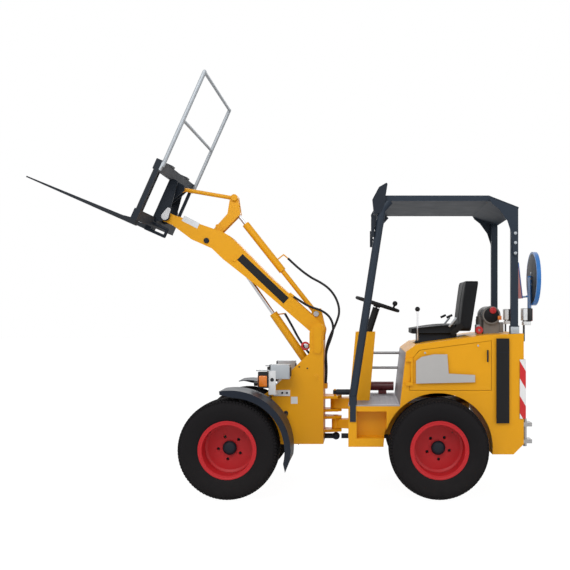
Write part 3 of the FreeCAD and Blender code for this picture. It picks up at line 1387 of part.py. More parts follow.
# ---------------------------------------------------------------- rear frame
def rear_chassis():
    """Chassis with the footwell sides, step recesses and articulation knuckles."""
    spine = block("chassis_spine", ("chassis_back", "step_front"),
                  ("-chassis_half", "chassis_half"),
                  ("chassis_low", "floor_height - floor_wall"))
    side_box = slab("footwell_side", [
        ("step_front", "sill_height"),
        ("-axle_reach + sqrt(arch_radius ^ 2 - (sill_height - tyre_radius) ^ 2)", "sill_height"),
        ("-axle_reach + sqrt(arch_radius ^ 2 - (floor_height - floor_wall - tyre_radius) ^ 2)",
         "floor_height - floor_wall", "arch_radius"),
        ("step_front", "floor_height - floor_wall"),
    ], "body_half - chassis_half + 1", ("0", "(body_half + chassis_half - 1) / 2", "0"))
    recess = block("step_recess", ("recess_back", "recess_front"),
                   ("body_half - recess_deep", "body_half + 1"), ("recess_low", "recess_high"))
    yoke = level("rear_yoke", [
        ("step_front", "-lug_half - 20"), ("0", "-lug_half * 0.8"),
        ("lug_half * 0.8", "0", "lug_half"), ("0", "lug_half * 0.8", "lug_half"),
        ("step_front", "lug_half + 20"),
    ], "yoke_low", "yoke_high")
    arm = level("rear_knuckle_arm", [
        ("step_front - 1", "-lug_half"), ("0", "-hinge_tube * 0.7"), ("0", "hinge_tube * 0.7"),
        ("step_front - 1", "lug_half")], "knuckle_low + 4", "knuckle_high - 4")
    tube = upright("rear_knuckle", "0", "0", "hinge_tube", "knuckle_low", "knuckle_high")
    bore = upright("rear_hinge_bore", "0", "0", "hinge_pin + run_fit",
                   "knuckle_low - 40", "yoke_high + 40")
    pan = block("driveshaft_tunnel", ("chassis_back - 1", "step_front + 1"),
                ("-80", "80"), ("shaft_z - 10", "shaft_z + 10"))
    rear_shaft = leaning("rear_shaft_rod", ("0", "0", "shaft_z"), "180", "shaft_radius",
                         "shaft_radius * 1.5 + 12", "axle_reach - diff_radius + 10")
    axle_seat = block("rear_axle_seat", ("-axle_reach - 60", "-axle_reach + 60"),
                      ("-chassis_half + 20", "chassis_half - 20"),
                      ("tyre_radius + axle_radius - 4", "chassis_low + 1"))
    seat_cut = across("rear_axle_seat_cut", "-axle_reach", "tyre_radius",
                      "diff_radius", "-diff_long / 2", "diff_long / 2")
    beam_cut = across("rear_axle_beam_cut", "-axle_reach", "tyre_radius",
                      "axle_radius", "-chassis_half", "chassis_half")
    sides = both("footwell_sides", cut("footwell_side_open", side_box, recess))
    solid = fuse("rear_chassis_solid", spine, sides, yoke, arm, tube, axle_seat)
    node(cut("rear_chassis", solid, bore, seat_cut, beam_cut))
    node(cut("rear_driveshaft", rear_shaft, doc.getObject("rear_axle_diff")))


rear_chassis()


def engine_cover():
    """Rear bodywork over the engine, with arches, a cavity and door openings."""
    arch_dz = "(tail_height - tyre_radius)"
    body = slab("cover_block", [
        ("seat_box_foot", "floor_height - floor_wall"),
        ("seat_box_top_x", "seat_box_top_z"),
        ("hood_front", "hood_front_z"),
        ("hood_crest", "hood_crest_z"),
        ("hood_back", "hood_back_z"),
        ("hood_back", "tail_height + tail_chamfer"),
        ("hood_back + tail_chamfer", "tail_height"),
        (f"-axle_reach - sqrt(arch_radius ^ 2 - {arch_dz} ^ 2)", "tail_height"),
        ("-axle_reach", "tyre_radius + arch_radius", "-arch_radius"),
        ("-axle_reach + sqrt(arch_radius ^ 2 - (floor_height - floor_wall - tyre_radius) ^ 2)",
         "floor_height - floor_wall", "-arch_radius"),
    ], "2 * body_half")
    cavity = block("cover_cavity", ("hood_back + shell", "cavity_front"),
                   ("-(body_half - shell)", "body_half - shell"), ("cavity_low", "cavity_high"))
    opening = slab("door_opening", [
        (f"door_foot + door_gap", "door_low - door_gap"),
        (f"door_hip_x + door_gap", "door_hip_z"),
        ("door_top_x + door_gap", "door_top_z + door_gap"),
        ("door_back - door_gap", "door_back_z + door_gap"),
        ("door_back - door_gap", "door_low - door_gap"),
    ], "shell + 15", ("0", "body_half + 1 - (shell + 15) / 2", "0"))
    pin_x = "(door_foot - door_axis_in)"
    pin_y = "body_half + door_tube + side_gap"
    pin = upright("door_pin", pin_x, pin_y, "door_pin", "door_hinge_low", "door_hinge_high")
    lugs = []
    for name, low, high in (("lower", "door_hinge_low - door_lug", "door_hinge_low + 4"),
                            ("upper", "door_hinge_high - 4", "door_hinge_high + door_lug")):
        lugs.append(block(f"door_lug_{name}", (f"{pin_x} - 6", "door_foot + 26"),
                          ("body_half + door_gap", "body_half + 2 * door_tube"), (low, high)))
        lugs.append(block(f"door_lug_foot_{name}", ("door_foot + door_gap + 4", "door_foot + 26"),
                          ("body_half - 1", "body_half + door_gap + 1"), (low, high)))
    hinge = fuse("door_hinge_left", pin, *lugs)
    shell = cut("cover_shell", body, cavity, opening, mirror("door_opening_right", opening))
    node(fuse("engine_cover", shell, hinge, mirror("door_hinge_right", hinge)))
    return body


COVER = engine_cover()


def engine():
    """Engine and hydraulic pump as one plain block inside the cover."""
    middle = "(cavity_front + hood_back) / 2"
    node(block("engine_block", (f"{middle} - engine_long / 2", f"{middle} + engine_long / 2"),
               ("-engine_wide / 2", "engine_wide / 2"),
               ("cavity_low", "cavity_low + engine_high")))


engine()


def side_door(side):
    """Hinged service door in one side of the engine cover."""
    panel = slab(f"door_panel_{side}", [
        ("door_foot", "door_low"), ("door_hip_x", "door_hip_z"), ("door_top_x", "door_top_z"),
        ("door_back", "door_back_z"), ("door_back", "door_low"),
    ], "shell", ("0", "body_half - shell / 2", "0"))
    pin_x = "(door_foot - door_axis_in)"
    pin_y = "body_half + door_tube + side_gap"
    low = "door_hinge_low + 4 + side_gap"
    high = "door_hinge_high - 4 - side_gap"
    tube = upright(f"door_tube_{side}", pin_x, pin_y, "door_tube", low, high)
    tab = block(f"door_tab_{side}", (f"{pin_x} - 30", f"{pin_x} - 6"),
                ("body_half", "body_half + 5"), (low, high))
    bore = upright(f"door_bore_{side}", pin_x, pin_y, "door_pin + run_fit",
                   "door_hinge_low", "door_hinge_high")
    return cut(f"side_door_{side}", fuse(f"door_solid_{side}", panel, tube, tab), bore)


left_door = node(side_door("left"))
node(mirror("side_door_right", left_door))


def footwell():
    """Chequer plate floor that turns up the front of the seat box."""
    floor = block("floor_plate", ("seat_box_foot", "step_front"), ("-body_half", "body_half"),
                  ("floor_height - floor_wall", "floor_height"))
    node(floor)
    floor.Label = "footwell_floor"


footwell()


def console():
    """Tapered steering console, open at the foot for the steering cylinder."""
    outline = [
        ("console_foot_x", "floor_height"), ("console_top_x", "console_top"),
        ("console_top_back", "console_top"), ("console_back_x", "floor_height"),
    ]
    outer = slab("console_block", outline, "2 * console_half")
    wall = "console_wall"
    inner = slab("console_hollow", [
        (f"console_foot_x - {wall}", "floor_height - 1"),
        (f"console_top_x - {wall}", f"console_top - {wall}"),
        (f"console_top_back + {wall}", f"console_top - {wall}"),
        (f"console_back_x + {wall}", "floor_height - 1"),
    ], f"2 * (console_half - {wall})")
    mouth = block("console_mouth_cut", ("console_foot_x - 40", "console_foot_x + 5"),
                  (f"-(console_half - {wall})", f"console_half - {wall}"),
                  ("floor_height + 14", "console_mouth"))
    shelf = block("steer_shelf_low", ("console_back_x + 2", "steer_base_x + 30"),
                  ("steer_base_y - 24", f"console_half - {wall} + 1"),
                  ("steer_z - steer_barrel - 13", "steer_z - steer_barrel - 3"))
    shelf_top = block("steer_shelf_high", ("console_back_x + 2", "steer_base_x + 30"),
                      ("steer_base_y - 24", f"console_half - {wall} + 1"),
                      ("steer_z + steer_barrel + 3", "steer_z + steer_barrel + 13"))
    shell = cut("console_shell", outer, inner, mouth)
    node(fuse("console", shell, shelf, shelf_top))
    return outer


CONSOLE = console()


def steering_wheel():
    """Raked column, and the steering wheel on its own shaft."""
    rake = "90 + column_rake"
    at = ("wheel_x", "0", "wheel_z")
    column = leaning("column_tube", at, rake, "column_radius", "-column_long", "-30")
    node(cut("steering_column", column, CONSOLE,
             leaning("column_bore", at, rake, "small_pin * 0.6 + run_fit", "-90", "-20")))
    rim = doc.addObject("Part::Torus", "wheel_grip_ring")
    tie(rim, "Radius1", "wheel_radius")
    tie(rim, "Radius2", "wheel_grip")
    place(rim, at, "column_rake")
    shaft = leaning("wheel_shaft", at, rake, "small_pin * 0.6", "-80", "0")
    hub = leaning("wheel_hub", at, rake, "column_radius", "-24", "8")
    spokes = []
    for number in range(3):
        spoke = doc.addObject("Part::Box", f"wheel_spoke_{number}")
        tie(spoke, "Length", "wheel_radius")
        spoke.Width = 20
        spoke.Height = 6
        spoke.Placement = Placement(Vector(), Rotation(Vector(0, -1, 0), value("column_rake"))
                                    .multiply(Rotation(Vector(0, 0, 1), 180 + 120 * number)))
        for letter, text in zip("xyz", at):
            tie(spoke, f"Placement.Base.{letter}", text)
        spokes.append(spoke)
    around = "wheel_radius * cos(knob_turn)"
    knob_at = (f"wheel_x - {around} * cos(column_rake)", "wheel_radius * sin(knob_turn)",
               f"wheel_z - {around} * sin(column_rake)")
    stalk = leaning("wheel_knob_stalk", knob_at, rake, "wheel_grip * 0.6", "0", "2 * knob_radius")
    knob = ball("wheel_knob", (f"{knob_at[0]} + 45 * cos({rake})", knob_at[1],
                               f"{knob_at[2]} + 45 * sin({rake})"), "knob_radius")
    node(fuse("steering_wheel", rim, shaft, hub, stalk, knob, *spokes))


steering_wheel()


def controls():
    """Loader lever with its ball beside the seat."""
    stem = strut("lever_stem", ("lever_x - 30", "lever_y", "hood_front_z - 5"),
                 ("lever_x", "lever_y", "lever_top"), "small_pin * 0.6")
    knob = ball("lever_ball", ("lever_x", "lever_y", "lever_top"), "small_pin * 2")
    node(cut("control_lever", fuse("lever_solid", stem, knob), COVER))


controls()


def seat():
    """Seat bracket, cushion and back as plain closed solids."""
    half = "seat_half"
    bracket = slab("seat_bracket", [
        ("seat_front - 60", "hood_front_z + (hood_front - seat_front + 60) * 0.137"),
        ("seat_back", "hood_front_z + (hood_front - seat_back) * 0.137"),
        ("seat_back", "seat_low - soft_gap"),
        ("seat_front - 60", "seat_low - soft_gap"),
    ], f"2 * {half} - 80")
    node(bracket)
    node(slab("seat_cushion", [
        ("seat_front", "seat_low"), ("seat_front", "seat_lip"), ("seat_crown", "seat_top"),
        ("seat_back + soft_gap", "seat_top"), ("seat_back + soft_gap", "seat_low"),
    ], f"2 * {half}"))
    node(slab("seat_backrest", [
        ("seat_back", "seat_low + 20"), ("seat_rear + 30 + back_wall", "seat_high - 40"),
        ("seat_rear + back_wall", "seat_high"), ("seat_rear", "seat_high"),
        ("seat_back - back_wall", "seat_low + 20"),
    ], f"2 * {half}"))


seat()


# ---------------------------------------------------------------- canopy
def canopy():
    """Front post of the overhead guard, bent back under the roof, with its foot plate."""
    def spot(x, z):
        return (x, "body_half - post_in", z)
    points = [spot("post_foot_x", "post_foot_z"), spot("post_foot_x", "post_bend_z"),
              spot("post_head_x", "post_head_z"),
              spot("post_head_x - 24", "roof_height - 100"),
              spot("roof_front - post_radius", "roof_height - roof_wall + 1")]
    pieces = [strut(f"front_post_run_{n}", start, end, "post_radius")
              for n, (start, end) in enumerate(zip(points, points[1:]))]
    pieces += [ball(f"front_post_bend_{n}", point, "post_radius")
               for n, point in enumerate(points[1:4])]
    pieces.append(block("front_post_foot", ("post_foot_x - 22", "post_foot_x + 22"),
                        ("body_half", "body_half + 8"), ("post_foot_low", "post_foot_z + 60")))
    pieces.append(block("front_post_web", ("post_foot_x - 22", "post_foot_x + 22"),
                        ("body_half - post_in", "body_half + 1"),
                        ("post_foot_z", "post_foot_z + 60")))
    trim = block("front_post_trim", ("roof_back", "0"), ("0", "body_half + 100"),
                 ("roof_height - roof_wall", "roof_height + 100"))
    return cut("front_post_left", fuse("front_post_solid", *pieces), trim)


def roof():
    """Roof panel, sloping down at the back, with a rail along each side."""
    panel = slab("canopy_roof", [
        ("roof_front", "roof_height - roof_wall"),
        ("roof_front", "roof_height"),
        ("roof_slope_x", "roof_height"),
        ("roof_back", "roof_back_z"),
        ("roof_back + roof_lip", "roof_back_z - roof_wall"),
        ("roof_slope_x", "roof_height - roof_wall"),
    ], "2 * (body_half - roof_in)")
    return panel


node(both("front_posts", canopy()))
node(roof())


def rear_post():
    """Flat-sided rear post standing in a shoe on the engine cover."""
    def under(x):
        rise = "(roof_height - roof_back_z) / (roof_slope_x - roof_back - roof_lip)"
        return (x, f"roof_back_z - roof_wall + ({x} - roof_back - roof_lip) * {rise}")
    low = "hood_crest_z - 20"
    x_back = "rear_post_x - rear_post_wide / 2"
    x_front = "rear_post_x + rear_post_wide / 2"
    middle = "body_half - rear_post_in"
    post = slab("rear_post_run", [
        (x_back, low), (x_front, low), under(x_front), under(x_back),
    ], "rear_post_deep", ("0", middle, "0"))
    shoe = block("rear_post_shoe", (f"{x_back} - 6", f"{x_front} + 6"),
                 (f"{middle} - rear_post_deep / 2 - 6", f"{middle} + rear_post_deep / 2 + 6"),
                 (low, "hood_back_z + shoe_high"))
    return cut("rear_post_left", fuse("rear_post_solid", post, shoe), COVER)


node(both("rear_posts", rear_post()))


def post_lamps():
    """Mirror housing and folded lamp in front of each front post."""
    out = "body_half - post_in"
    housing = slab("mirror_housing", [
        ("post_head_x + 42", "roof_height - 99"), ("post_head_x + 49", "roof_height - 32"),
        ("post_head_x", "roof_height + 60"), ("post_head_x - 54", "roof_height + 91"),
        ("post_head_x - 63", "roof_height + 83"), ("post_head_x - 50", "roof_height + 1"),
        ("roof_front + 1", "roof_height + 1"), ("roof_front + 1", "roof_height - 40"),
        ("post_head_x - 17", "roof_height - 128"), ("post_head_x + 35", "roof_height - 144"),
    ], "post_radius * 2", ("0", out, "0"))
    lamp = block("folded_lamp", ("post_head_x + 34", "post_head_x + 58"),
                 (f"{out} - 45", f"{out} + 30"), ("post_head_z - 61", "post_head_z + 70"))
    arm = block("folded_lamp_arm", ("post_head_x", "post_head_x + 35"),
                (f"{out} - 8", f"{out} + 8"), ("post_head_z - 8", "post_head_z + 8"))
    node(both("post_lamps", cut("post_lamp_left", fuse("post_lamp_solid", housing, lamp, arm),
                                doc.getObject("front_post_left"))))


post_lamps()


# ---------------------------------------------------------------- rear fittings
def rear_fittings():
    """Sign disc, lamps, air cleaner, tow hitch and the bottle on the floor."""
    disc = doc.addObject("Part::Cylinder", "sign_disc_plate")
    tie(disc, "Radius", "disc_radius")
    tie(disc, "Height", "disc_wall")
    disc.Placement = Placement(Vector(), Rotation(Vector(0, 1, 0), 90))
    for letter, text in zip("xyz", ("disc_x - disc_wall / 2", "disc_y", "disc_z")):
        tie(disc, f"Placement.Base.{letter}", text)
    arm = strut("sign_arm", ("disc_x + disc_wall / 2 - 2", "disc_y", "disc_z"),
                ("stem_x", "disc_y", "disc_z"), "bracket_radius * 0.8")
    stem = upright("sign_stem", "stem_x", "disc_y", "bracket_radius",
                   "rear_lamp_z + 45", "disc_z + 20")
    triangle = facing("warning_triangle", [
        ("triangle_y - triangle_half", "triangle_low"),
        ("triangle_y + triangle_half", "triangle_low"), ("triangle_y", "triangle_high"),
    ], "triangle_x", "triangle_x + guard_wall")
    link = across("triangle_link", "triangle_x - 5", "triangle_low + 12", "8",
                  "triangle_y + triangle_half - 40", "disc_y")
    node(fuse("rear_sign", disc, arm, stem, triangle, link))
    side_board = block("board_side", ("board_back", "board_front"),
                       ("body_half - 5", "body_half + 5"), ("board_low", "board_high"))
    back_board = block("board_rear", ("board_back", "hood_back + 5"),
                       ("board_in", "body_half + 5"), ("board_low", "board_high"))
    board = cut("rear_board", fuse("rear_board_solid", side_board, back_board), COVER)
    lamp = block("rear_lamp_box", ("rear_lamp_x - 70", "rear_lamp_x"),
                 ("rear_lamp_out - 45", "rear_lamp_out + 45"),
                 ("rear_lamp_z - 45", "rear_lamp_z + 45"))
    lamp_arm = block("rear_lamp_arm", ("rear_lamp_x - 20", "rear_lamp_x - 8"),
                     ("rear_lamp_out - 10", "rear_lamp_out + 10"),
                     ("hood_back_z - 60", "rear_lamp_z - 44"))
    lamp_foot = block("rear_lamp_foot", ("rear_lamp_x - 20", "hood_back"),
                      ("rear_lamp_out - 10", "rear_lamp_out + 10"),
                      ("hood_back_z - 60", "hood_back_z - 40"))
    node(both("rear_lamps", fuse("rear_lamp_left", lamp, lamp_arm, lamp_foot, board)))
    can = across("cleaner_can", "cleaner_x", "cleaner_top - 80", "70", "-150", "150")
    base = block("cleaner_base", ("cleaner_x - 60", "cleaner_x + 60"), ("-130", "130"),
                 ("hood_crest_z - 4", "cleaner_top - 80"))
    node(cut("air_cleaner", fuse("cleaner_solid", can, base), COVER))
    upper = block("tow_upper", ("hitch_end", "hood_back"), ("-60", "60"),
                  ("tow_high - 30", "tow_high"))
    lower = block("tow_lower", ("hitch_end", "hood_back"), ("-60", "60"),
                  ("tow_low + 30", "tow_low + 60"))
    back = block("tow_back", ("hood_back - 20", "hood_back"), ("-80", "80"),
                 ("tow_low + 91", "tow_high + 10"))
    web = block("tow_web", ("hood_back - 20", "hood_back - 1"), ("-60", "60"),
                ("tow_low + 30", "tow_high"))
    pin = upright("tow_pin", "hitch_end + 45", "0", "small_pin",
                  "tow_low", "tow_high + 25")
    node(fuse("tow_hitch", upper, lower, back, web, pin))
    bottle = doc.addObject("Part::Cylinder", "bottle_tank")
    tie(bottle, "Radius", "bottle_radius")
    tie(bottle, "Height", "bottle_long")
    bottle.Placement = Placement(Vector(), Rotation(Vector(0, 1, 0), -90))
    for letter, text in zip("xyz", ("console_back_x - 12", "-body_half + 80",
                                    "floor_height + bottle_lift + bottle_radius")):
        tie(bottle, f"Placement.Base.{letter}", text)
    cradle = block("bottle_cradle", ("console_back_x - bottle_long * 0.75",
                                     "console_back_x - bottle_long * 0.4"),
                   ("-body_half + 60", "-body_half + 100"),
                   ("floor_height", "floor_height + bottle_lift + bottle_radius"))
    node(fuse("floor_bottle", bottle, cradle))


rear_fittings()


def side_rails():
    """Two guard rails on the right side of the footwell, from the post to the seat box."""
    start = "post_foot_x - 30"
    rails = [leaning(f"side_rail_{name}", (start, "-(body_half - post_in)", z), "180", "bracket_radius * 0.8",
                     "0", f"{start} - seat_box_top_x + 2")
             for name, z in (("lower", "floor_height + 215"), ("upper", "floor_height + 340"))]
    node(cut("side_rails", fuse("side_rail_pair", *rails), COVER, doc.getObject("front_posts")))


side_rails()


# ---------------------------------------------------------------- checks and export
doc.recompute()
faults = [thing.Name for thing in doc.Objects
          if any(word in thing.State for word in ("Invalid", "Error"))]
faults += [thing.Name for thing in NODES
           if thing.Shape.isNull() or not thing.Shape.isValid() or thing.Shape.Volume <= 0]
if faults:
    raise SystemExit("faulty objects: " + ", ".join(faults))
os.makedirs("parts", exist_ok=True)
for thing in NODES:
    thing.Shape.exportStep(f"parts/{thing.Label}.step")
print(f"{len(NODES)} parts written")
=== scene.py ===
"""Dressed scene of an articulated mini loader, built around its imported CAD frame."""
import json
import logging
import math
from dataclasses import dataclass
from enum import Enum
from typing import Sequence

import bpy
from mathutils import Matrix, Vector


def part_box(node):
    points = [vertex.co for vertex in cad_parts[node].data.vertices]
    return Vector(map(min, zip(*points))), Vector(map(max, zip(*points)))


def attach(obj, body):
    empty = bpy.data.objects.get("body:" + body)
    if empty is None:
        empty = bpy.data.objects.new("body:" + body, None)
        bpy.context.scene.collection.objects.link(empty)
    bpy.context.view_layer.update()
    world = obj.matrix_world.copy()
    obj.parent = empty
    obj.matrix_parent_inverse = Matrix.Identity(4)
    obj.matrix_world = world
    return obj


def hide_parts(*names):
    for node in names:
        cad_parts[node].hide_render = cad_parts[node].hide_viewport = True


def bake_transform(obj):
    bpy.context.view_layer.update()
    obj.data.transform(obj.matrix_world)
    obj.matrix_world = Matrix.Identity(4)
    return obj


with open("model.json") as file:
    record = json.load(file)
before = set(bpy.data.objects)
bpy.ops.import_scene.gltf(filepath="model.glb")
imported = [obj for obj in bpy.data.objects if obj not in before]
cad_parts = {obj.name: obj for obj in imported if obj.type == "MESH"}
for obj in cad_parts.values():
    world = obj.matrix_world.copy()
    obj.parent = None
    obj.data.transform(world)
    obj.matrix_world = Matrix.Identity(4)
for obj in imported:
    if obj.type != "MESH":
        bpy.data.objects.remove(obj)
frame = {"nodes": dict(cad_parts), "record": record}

LOG = logging.getLogger("loader")
Point = tuple[float, float, float]
Colour = tuple[float, float, float]
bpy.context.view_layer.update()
BUILT: dict[str, bpy.types.Material] = {}
COLOUR_A, COLOUR_B, COLOUR_OUT = 6, 7, 2    # colour sockets of a Mix node
BAND_LEAN = (1.7, 1.0, -1.0)                # slope of the boards' bands along X, Y and Z
GRAIN_DEEP = 0.001                          # depth of a surface's fine grain
DOOR_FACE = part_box("side_door_left")[1][1]


class Axis(Enum):
    """Direction that a round piece is turned about."""

    X = (0.0, math.pi / 2, 0.0)
    Y = (math.pi / 2, 0.0, 0.0)
    Z = (0.0, 0.0, 0.0)


# ------------------------------------------------------------------ finishes
class Graph:
    """Node tree of a material or a world, with short ways to add nodes."""

    def __init__(self, owner) -> None:
        """Switch the owner's nodes on.

        Args:
            owner: Material or world.
        """
        owner.use_nodes = True
        self.nodes, self.links = owner.node_tree.nodes, owner.node_tree.links

    def add(self, kind: str, inputs: dict | None = None, operation: str = "") -> bpy.types.Node:
        """Add a node and fill its inputs.

        Args:
            kind: Node type without its prefix.
            inputs: Value, or socket to link, of each named or numbered input.
            operation: Operation of a math node.

        Returns:
            The node.
        """
        node = self.nodes.new(f"ShaderNode{kind}")
        if operation:
            node.operation = operation
        for key, value in (inputs or {}).items():
            if isinstance(value, bpy.types.NodeSocket):
                self.links.new(value, node.inputs[key])
            else:
                node.inputs[key].default_value = value
        return node

    def math(self, operation: str, first, second=0.0) -> bpy.types.NodeSocket:
        """Combine two numbers or sockets.

        Args:
            operation: Operation of the math node.
            first: First number or socket.
            second: Second number or socket.

        Returns:
            Socket of the result.
        """
        return self.add("Math", {0: first, 1: second}, operation).outputs["Value"]

    def noise(self, place: bpy.types.NodeSocket, scale: float,
              detail: float) -> bpy.types.NodeSocket:
        """Noise at a place.

        Args:
            place: Socket of the coordinates.
            scale: Noise cells a metre.
            detail: Octaves of finer noise.

        Returns:
            Socket from 0 to 1.
        """
        inputs = {"Vector": place, "Scale": scale, "Detail": detail}
        return self.add("TexNoise", inputs).outputs["Fac"]

    def blend(self, factor: bpy.types.NodeSocket, low, high) -> bpy.types.NodeSocket:
        """Colour between two colours or sockets by a factor.

        Args:
            factor: Socket from 0 to 1.
            low: Colour or socket at 0.
            high: Colour or socket at 1.

        Returns:
            Socket of the mixed colour.
        """
        mix = self.nodes.new("ShaderNodeMix")
        mix.data_type = "RGBA"
        self.links.new(factor, mix.inputs["Factor"])
        for key, value in ((COLOUR_A, low), (COLOUR_B, high)):
            if isinstance(value, bpy.types.NodeSocket):
                self.links.new(value, mix.inputs[key])
            else:
                mix.inputs[key].default_value = (*value, 1.0)
        return mix.outputs[COLOUR_OUT]


@dataclass(frozen=True)
class Finish:
    """Surface finish made of nodes that read the piece's own Object coordinates."""

    name: str
    colour: Colour
    roughness: float = 0.4
    metallic: float = 0.0
    mottle: float = 0.06
    mottle_scale: float = 6.0
    grain: float = 0.05
    grain_scale: float = 400.0
    rough_swing: float = 0.1
    dust: float = 0.0
    dust_colour: Colour = (0.30, 0.27, 0.23)
    dust_height: float = 0.5
    coat: float = 0.0
    specular: float = 0.5
    slot: str = ""
    stripe: float = 0.0
    stripe_colour: Colour = (0.85, 0.85, 0.85)

    def build(self) -> bpy.types.Material:
        """Make the material, or give back the one already made.

        Returns:
            The material of this finish.
        """
        if self.name in BUILT:
            return BUILT[self.name]
        material = bpy.data.materials.get(self.name) or bpy.data.materials.new(self.name)
        BUILT[self.name] = material
        graph = Graph(material)
        graph.nodes.clear()
        place = graph.add("TexCoord").outputs["Object"]
        mottle = graph.noise(place, self.mottle_scale, 4.0)
        darker = tuple(c * (1 - self.mottle) for c in self.colour)
        lighter = tuple(min(1.0, c * (1 + self.mottle)) for c in self.colour)
        colour = graph.blend(mottle, darker, lighter)
        if self.stripe:
            colour = self._add_stripes(graph, place, colour)
        if self.dust:
            colour = self._add_dust(graph, place, colour)
        swing = graph.add("MapRange", {
            "Value": mottle, "To Min": max(0.02, self.roughness - self.rough_swing),
            "To Max": min(1.0, self.roughness + self.rough_swing)})
        shader = graph.add("BsdfPrincipled", {
            "Base Color": colour, "Roughness": swing.outputs["Result"],
            "Metallic": self.metallic, "Coat Weight": self.coat,
            "Specular IOR Level": self.specular})
        if self.grain:
            fine = graph.noise(place, self.grain_scale, 2.0)
            bump = graph.add("Bump", {
                "Strength": self.grain, "Distance": GRAIN_DEEP, "Height": fine})
            graph.links.new(bump.outputs["Normal"], shader.inputs["Normal"])
        graph.add("OutputMaterial", {"Surface": shader.outputs["BSDF"]})
        return material

    def _add_dust(self, graph: Graph, place, colour) -> bpy.types.NodeSocket:
        """Dust that thins out upwards from the ground.

        Args:
            graph: Nodes of the material.
            place: Socket of the coordinates.
            colour: Socket of the clean colour.

        Returns:
            Socket of the dusted colour.
        """
        split = graph.add("SeparateXYZ", {"Vector": place})
        fall = graph.add("MapRange", {
            "Value": split.outputs["Z"], "From Min": 0.0, "From Max": self.dust_height,
            "To Min": self.dust, "To Max": 0.0})
        speck = graph.noise(place, 18.0, 6.0)
        amount = graph.math("MULTIPLY", fall.outputs["Result"], speck)
        return graph.blend(amount, colour, self.dust_colour)

    def _add_stripes(self, graph: Graph, place, colour) -> bpy.types.NodeSocket:
        """Slanting bands of a second colour.

        Args:
            graph: Nodes of the material.
            place: Socket of the coordinates.
            colour: Socket of the first colour.

        Returns:
            Socket of the banded colour.
        """
        slope = tuple(part / self.stripe for part in BAND_LEAN)
        lean = graph.add("VectorMath", {0: place, 1: slope}, "DOT_PRODUCT")
        part = graph.math("FRACT", lean.outputs["Value"])
        return graph.blend(graph.math("GREATER_THAN", part, 0.5), colour, self.stripe_colour)


YELLOW = Finish("yellow_paint", (0.82, 0.370, 0.003), 0.40, mottle=0.03, grain=0.02, dust=0.05,
                specular=0.3)
SLATE = Finish("slate_paint", (0.022, 0.032, 0.048), 0.45, specular=0.2, mottle=0.1, grain=0.05)
DARK = Finish("dark_paint", (0.012, 0.017, 0.026), 0.5, specular=0.2, mottle=0.15, dust=0.05)
BLACK = Finish("black_paint", (0.009, 0.010, 0.012), 0.45, specular=0.2, mottle=0.15)
GUARD = Finish("guard_black", (0.012, 0.017, 0.028), 0.42, specular=0.2, mottle=0.2, grain=0.1,
               dust=0.08)
RED_RIM = Finish("rim_red", (0.52, 0.014, 0.020), 0.42, mottle=0.08, dust=0.03, specular=0.3)
RUBBER = Finish("tyre_rubber", (0.009, 0.008, 0.009), 0.8, specular=0.15, mottle=0.25, grain=0.3,
                grain_scale=250, dust=0.03)
CHROME = Finish("rod_chrome", (0.72, 0.72, 0.74), 0.12, 1.0, mottle=0.02, grain=0.0)
STEEL = Finish("grey_steel", (0.42, 0.42, 0.43), 0.38, 1.0, mottle=0.12, grain=0.08)
GALVANISED = Finish("galvanised", (0.40, 0.43, 0.46), 0.5, 0.5, mottle=0.18, mottle_scale=30)
FORK = Finish("fork_black", (0.018, 0.022, 0.028), 0.42, specular=0.2, mottle=0.2)
ENGINE = Finish("engine_grey", (0.22, 0.21, 0.20), 0.6, 0.4, mottle=0.25, grain=0.3)
TREAD = Finish("tread_plate", (0.34, 0.33, 0.36), 0.45, 0.6, mottle=0.15, mottle_scale=20)
SEAT = Finish("seat_black", (0.008, 0.009, 0.011), 0.55, specular=0.15, mottle=0.15, grain=0.35,
              grain_scale=600)
BOTTLE = Finish("bottle_red", (0.16, 0.010, 0.016), 0.3, coat=0.3)
LAMP = Finish("lamp_housing", (0.02, 0.02, 0.022), 0.35, specular=0.2, coat=0.2)
BLUE = Finish("sign_blue", (0.010, 0.16, 0.50), 0.3, coat=0.3)
HOSE = Finish("hose_rubber", (0.016, 0.016, 0.018), 0.55, specular=0.2, mottle=0.15, grain=0.25,
              slot="black_paint")
GRIP = Finish("grip_black", (0.012, 0.012, 0.013), 0.6, specular=0.2, grain=0.2)
PIN_YELLOW = Finish("yellow_pin", (0.82, 0.370, 0.003), 0.40, mottle=0.04, specular=0.3)
WHITE = Finish("white_plate", (0.78, 0.79, 0.80), 0.4, mottle=0.03, slot="galvanised")
LABEL = Finish("blank_label", (0.72, 0.74, 0.76), 0.45, mottle=0.04, slot="galvanised")
BARE = Finish("bare_plate", (0.010, 0.010, 0.011), 0.4, specular=0.2, mottle=0.1, slot="dark_paint")
DOOR_GREY = Finish("door_grey", (0.46, 0.45, 0.44), 0.45, mottle=0.05, slot="galvanised")
AMBER = Finish("amber_lens", (0.85, 0.22, 0.01), 0.2, coat=0.5, slot="lamp_housing")
RED_LENS = Finish("red_lens", (0.45, 0.010, 0.015), 0.2, coat=0.5, slot="lamp_housing")
CLEAR = Finish("clear_lens", (0.75, 0.77, 0.78), 0.12, coat=0.6, slot="lamp_housing")
SILVER = Finish("lamp_silver", (0.46, 0.49, 0.52), 0.35, 0.2, slot="lamp_housing")
BANDED = Finish("banded_board", (0.62, 0.010, 0.015), 0.35, coat=0.2, slot="galvanised",
                stripe=0.255)
COUPLER_RED = Finish("coupler_red", (0.55, 0.012, 0.016), 0.35, coat=0.2, slot="lamp_housing")
WEBBING = Finish("belt_webbing", (0.014, 0.014, 0.015), 0.8, specular=0.2, grain=0.5,
                 grain_scale=900, slot="seat_black")
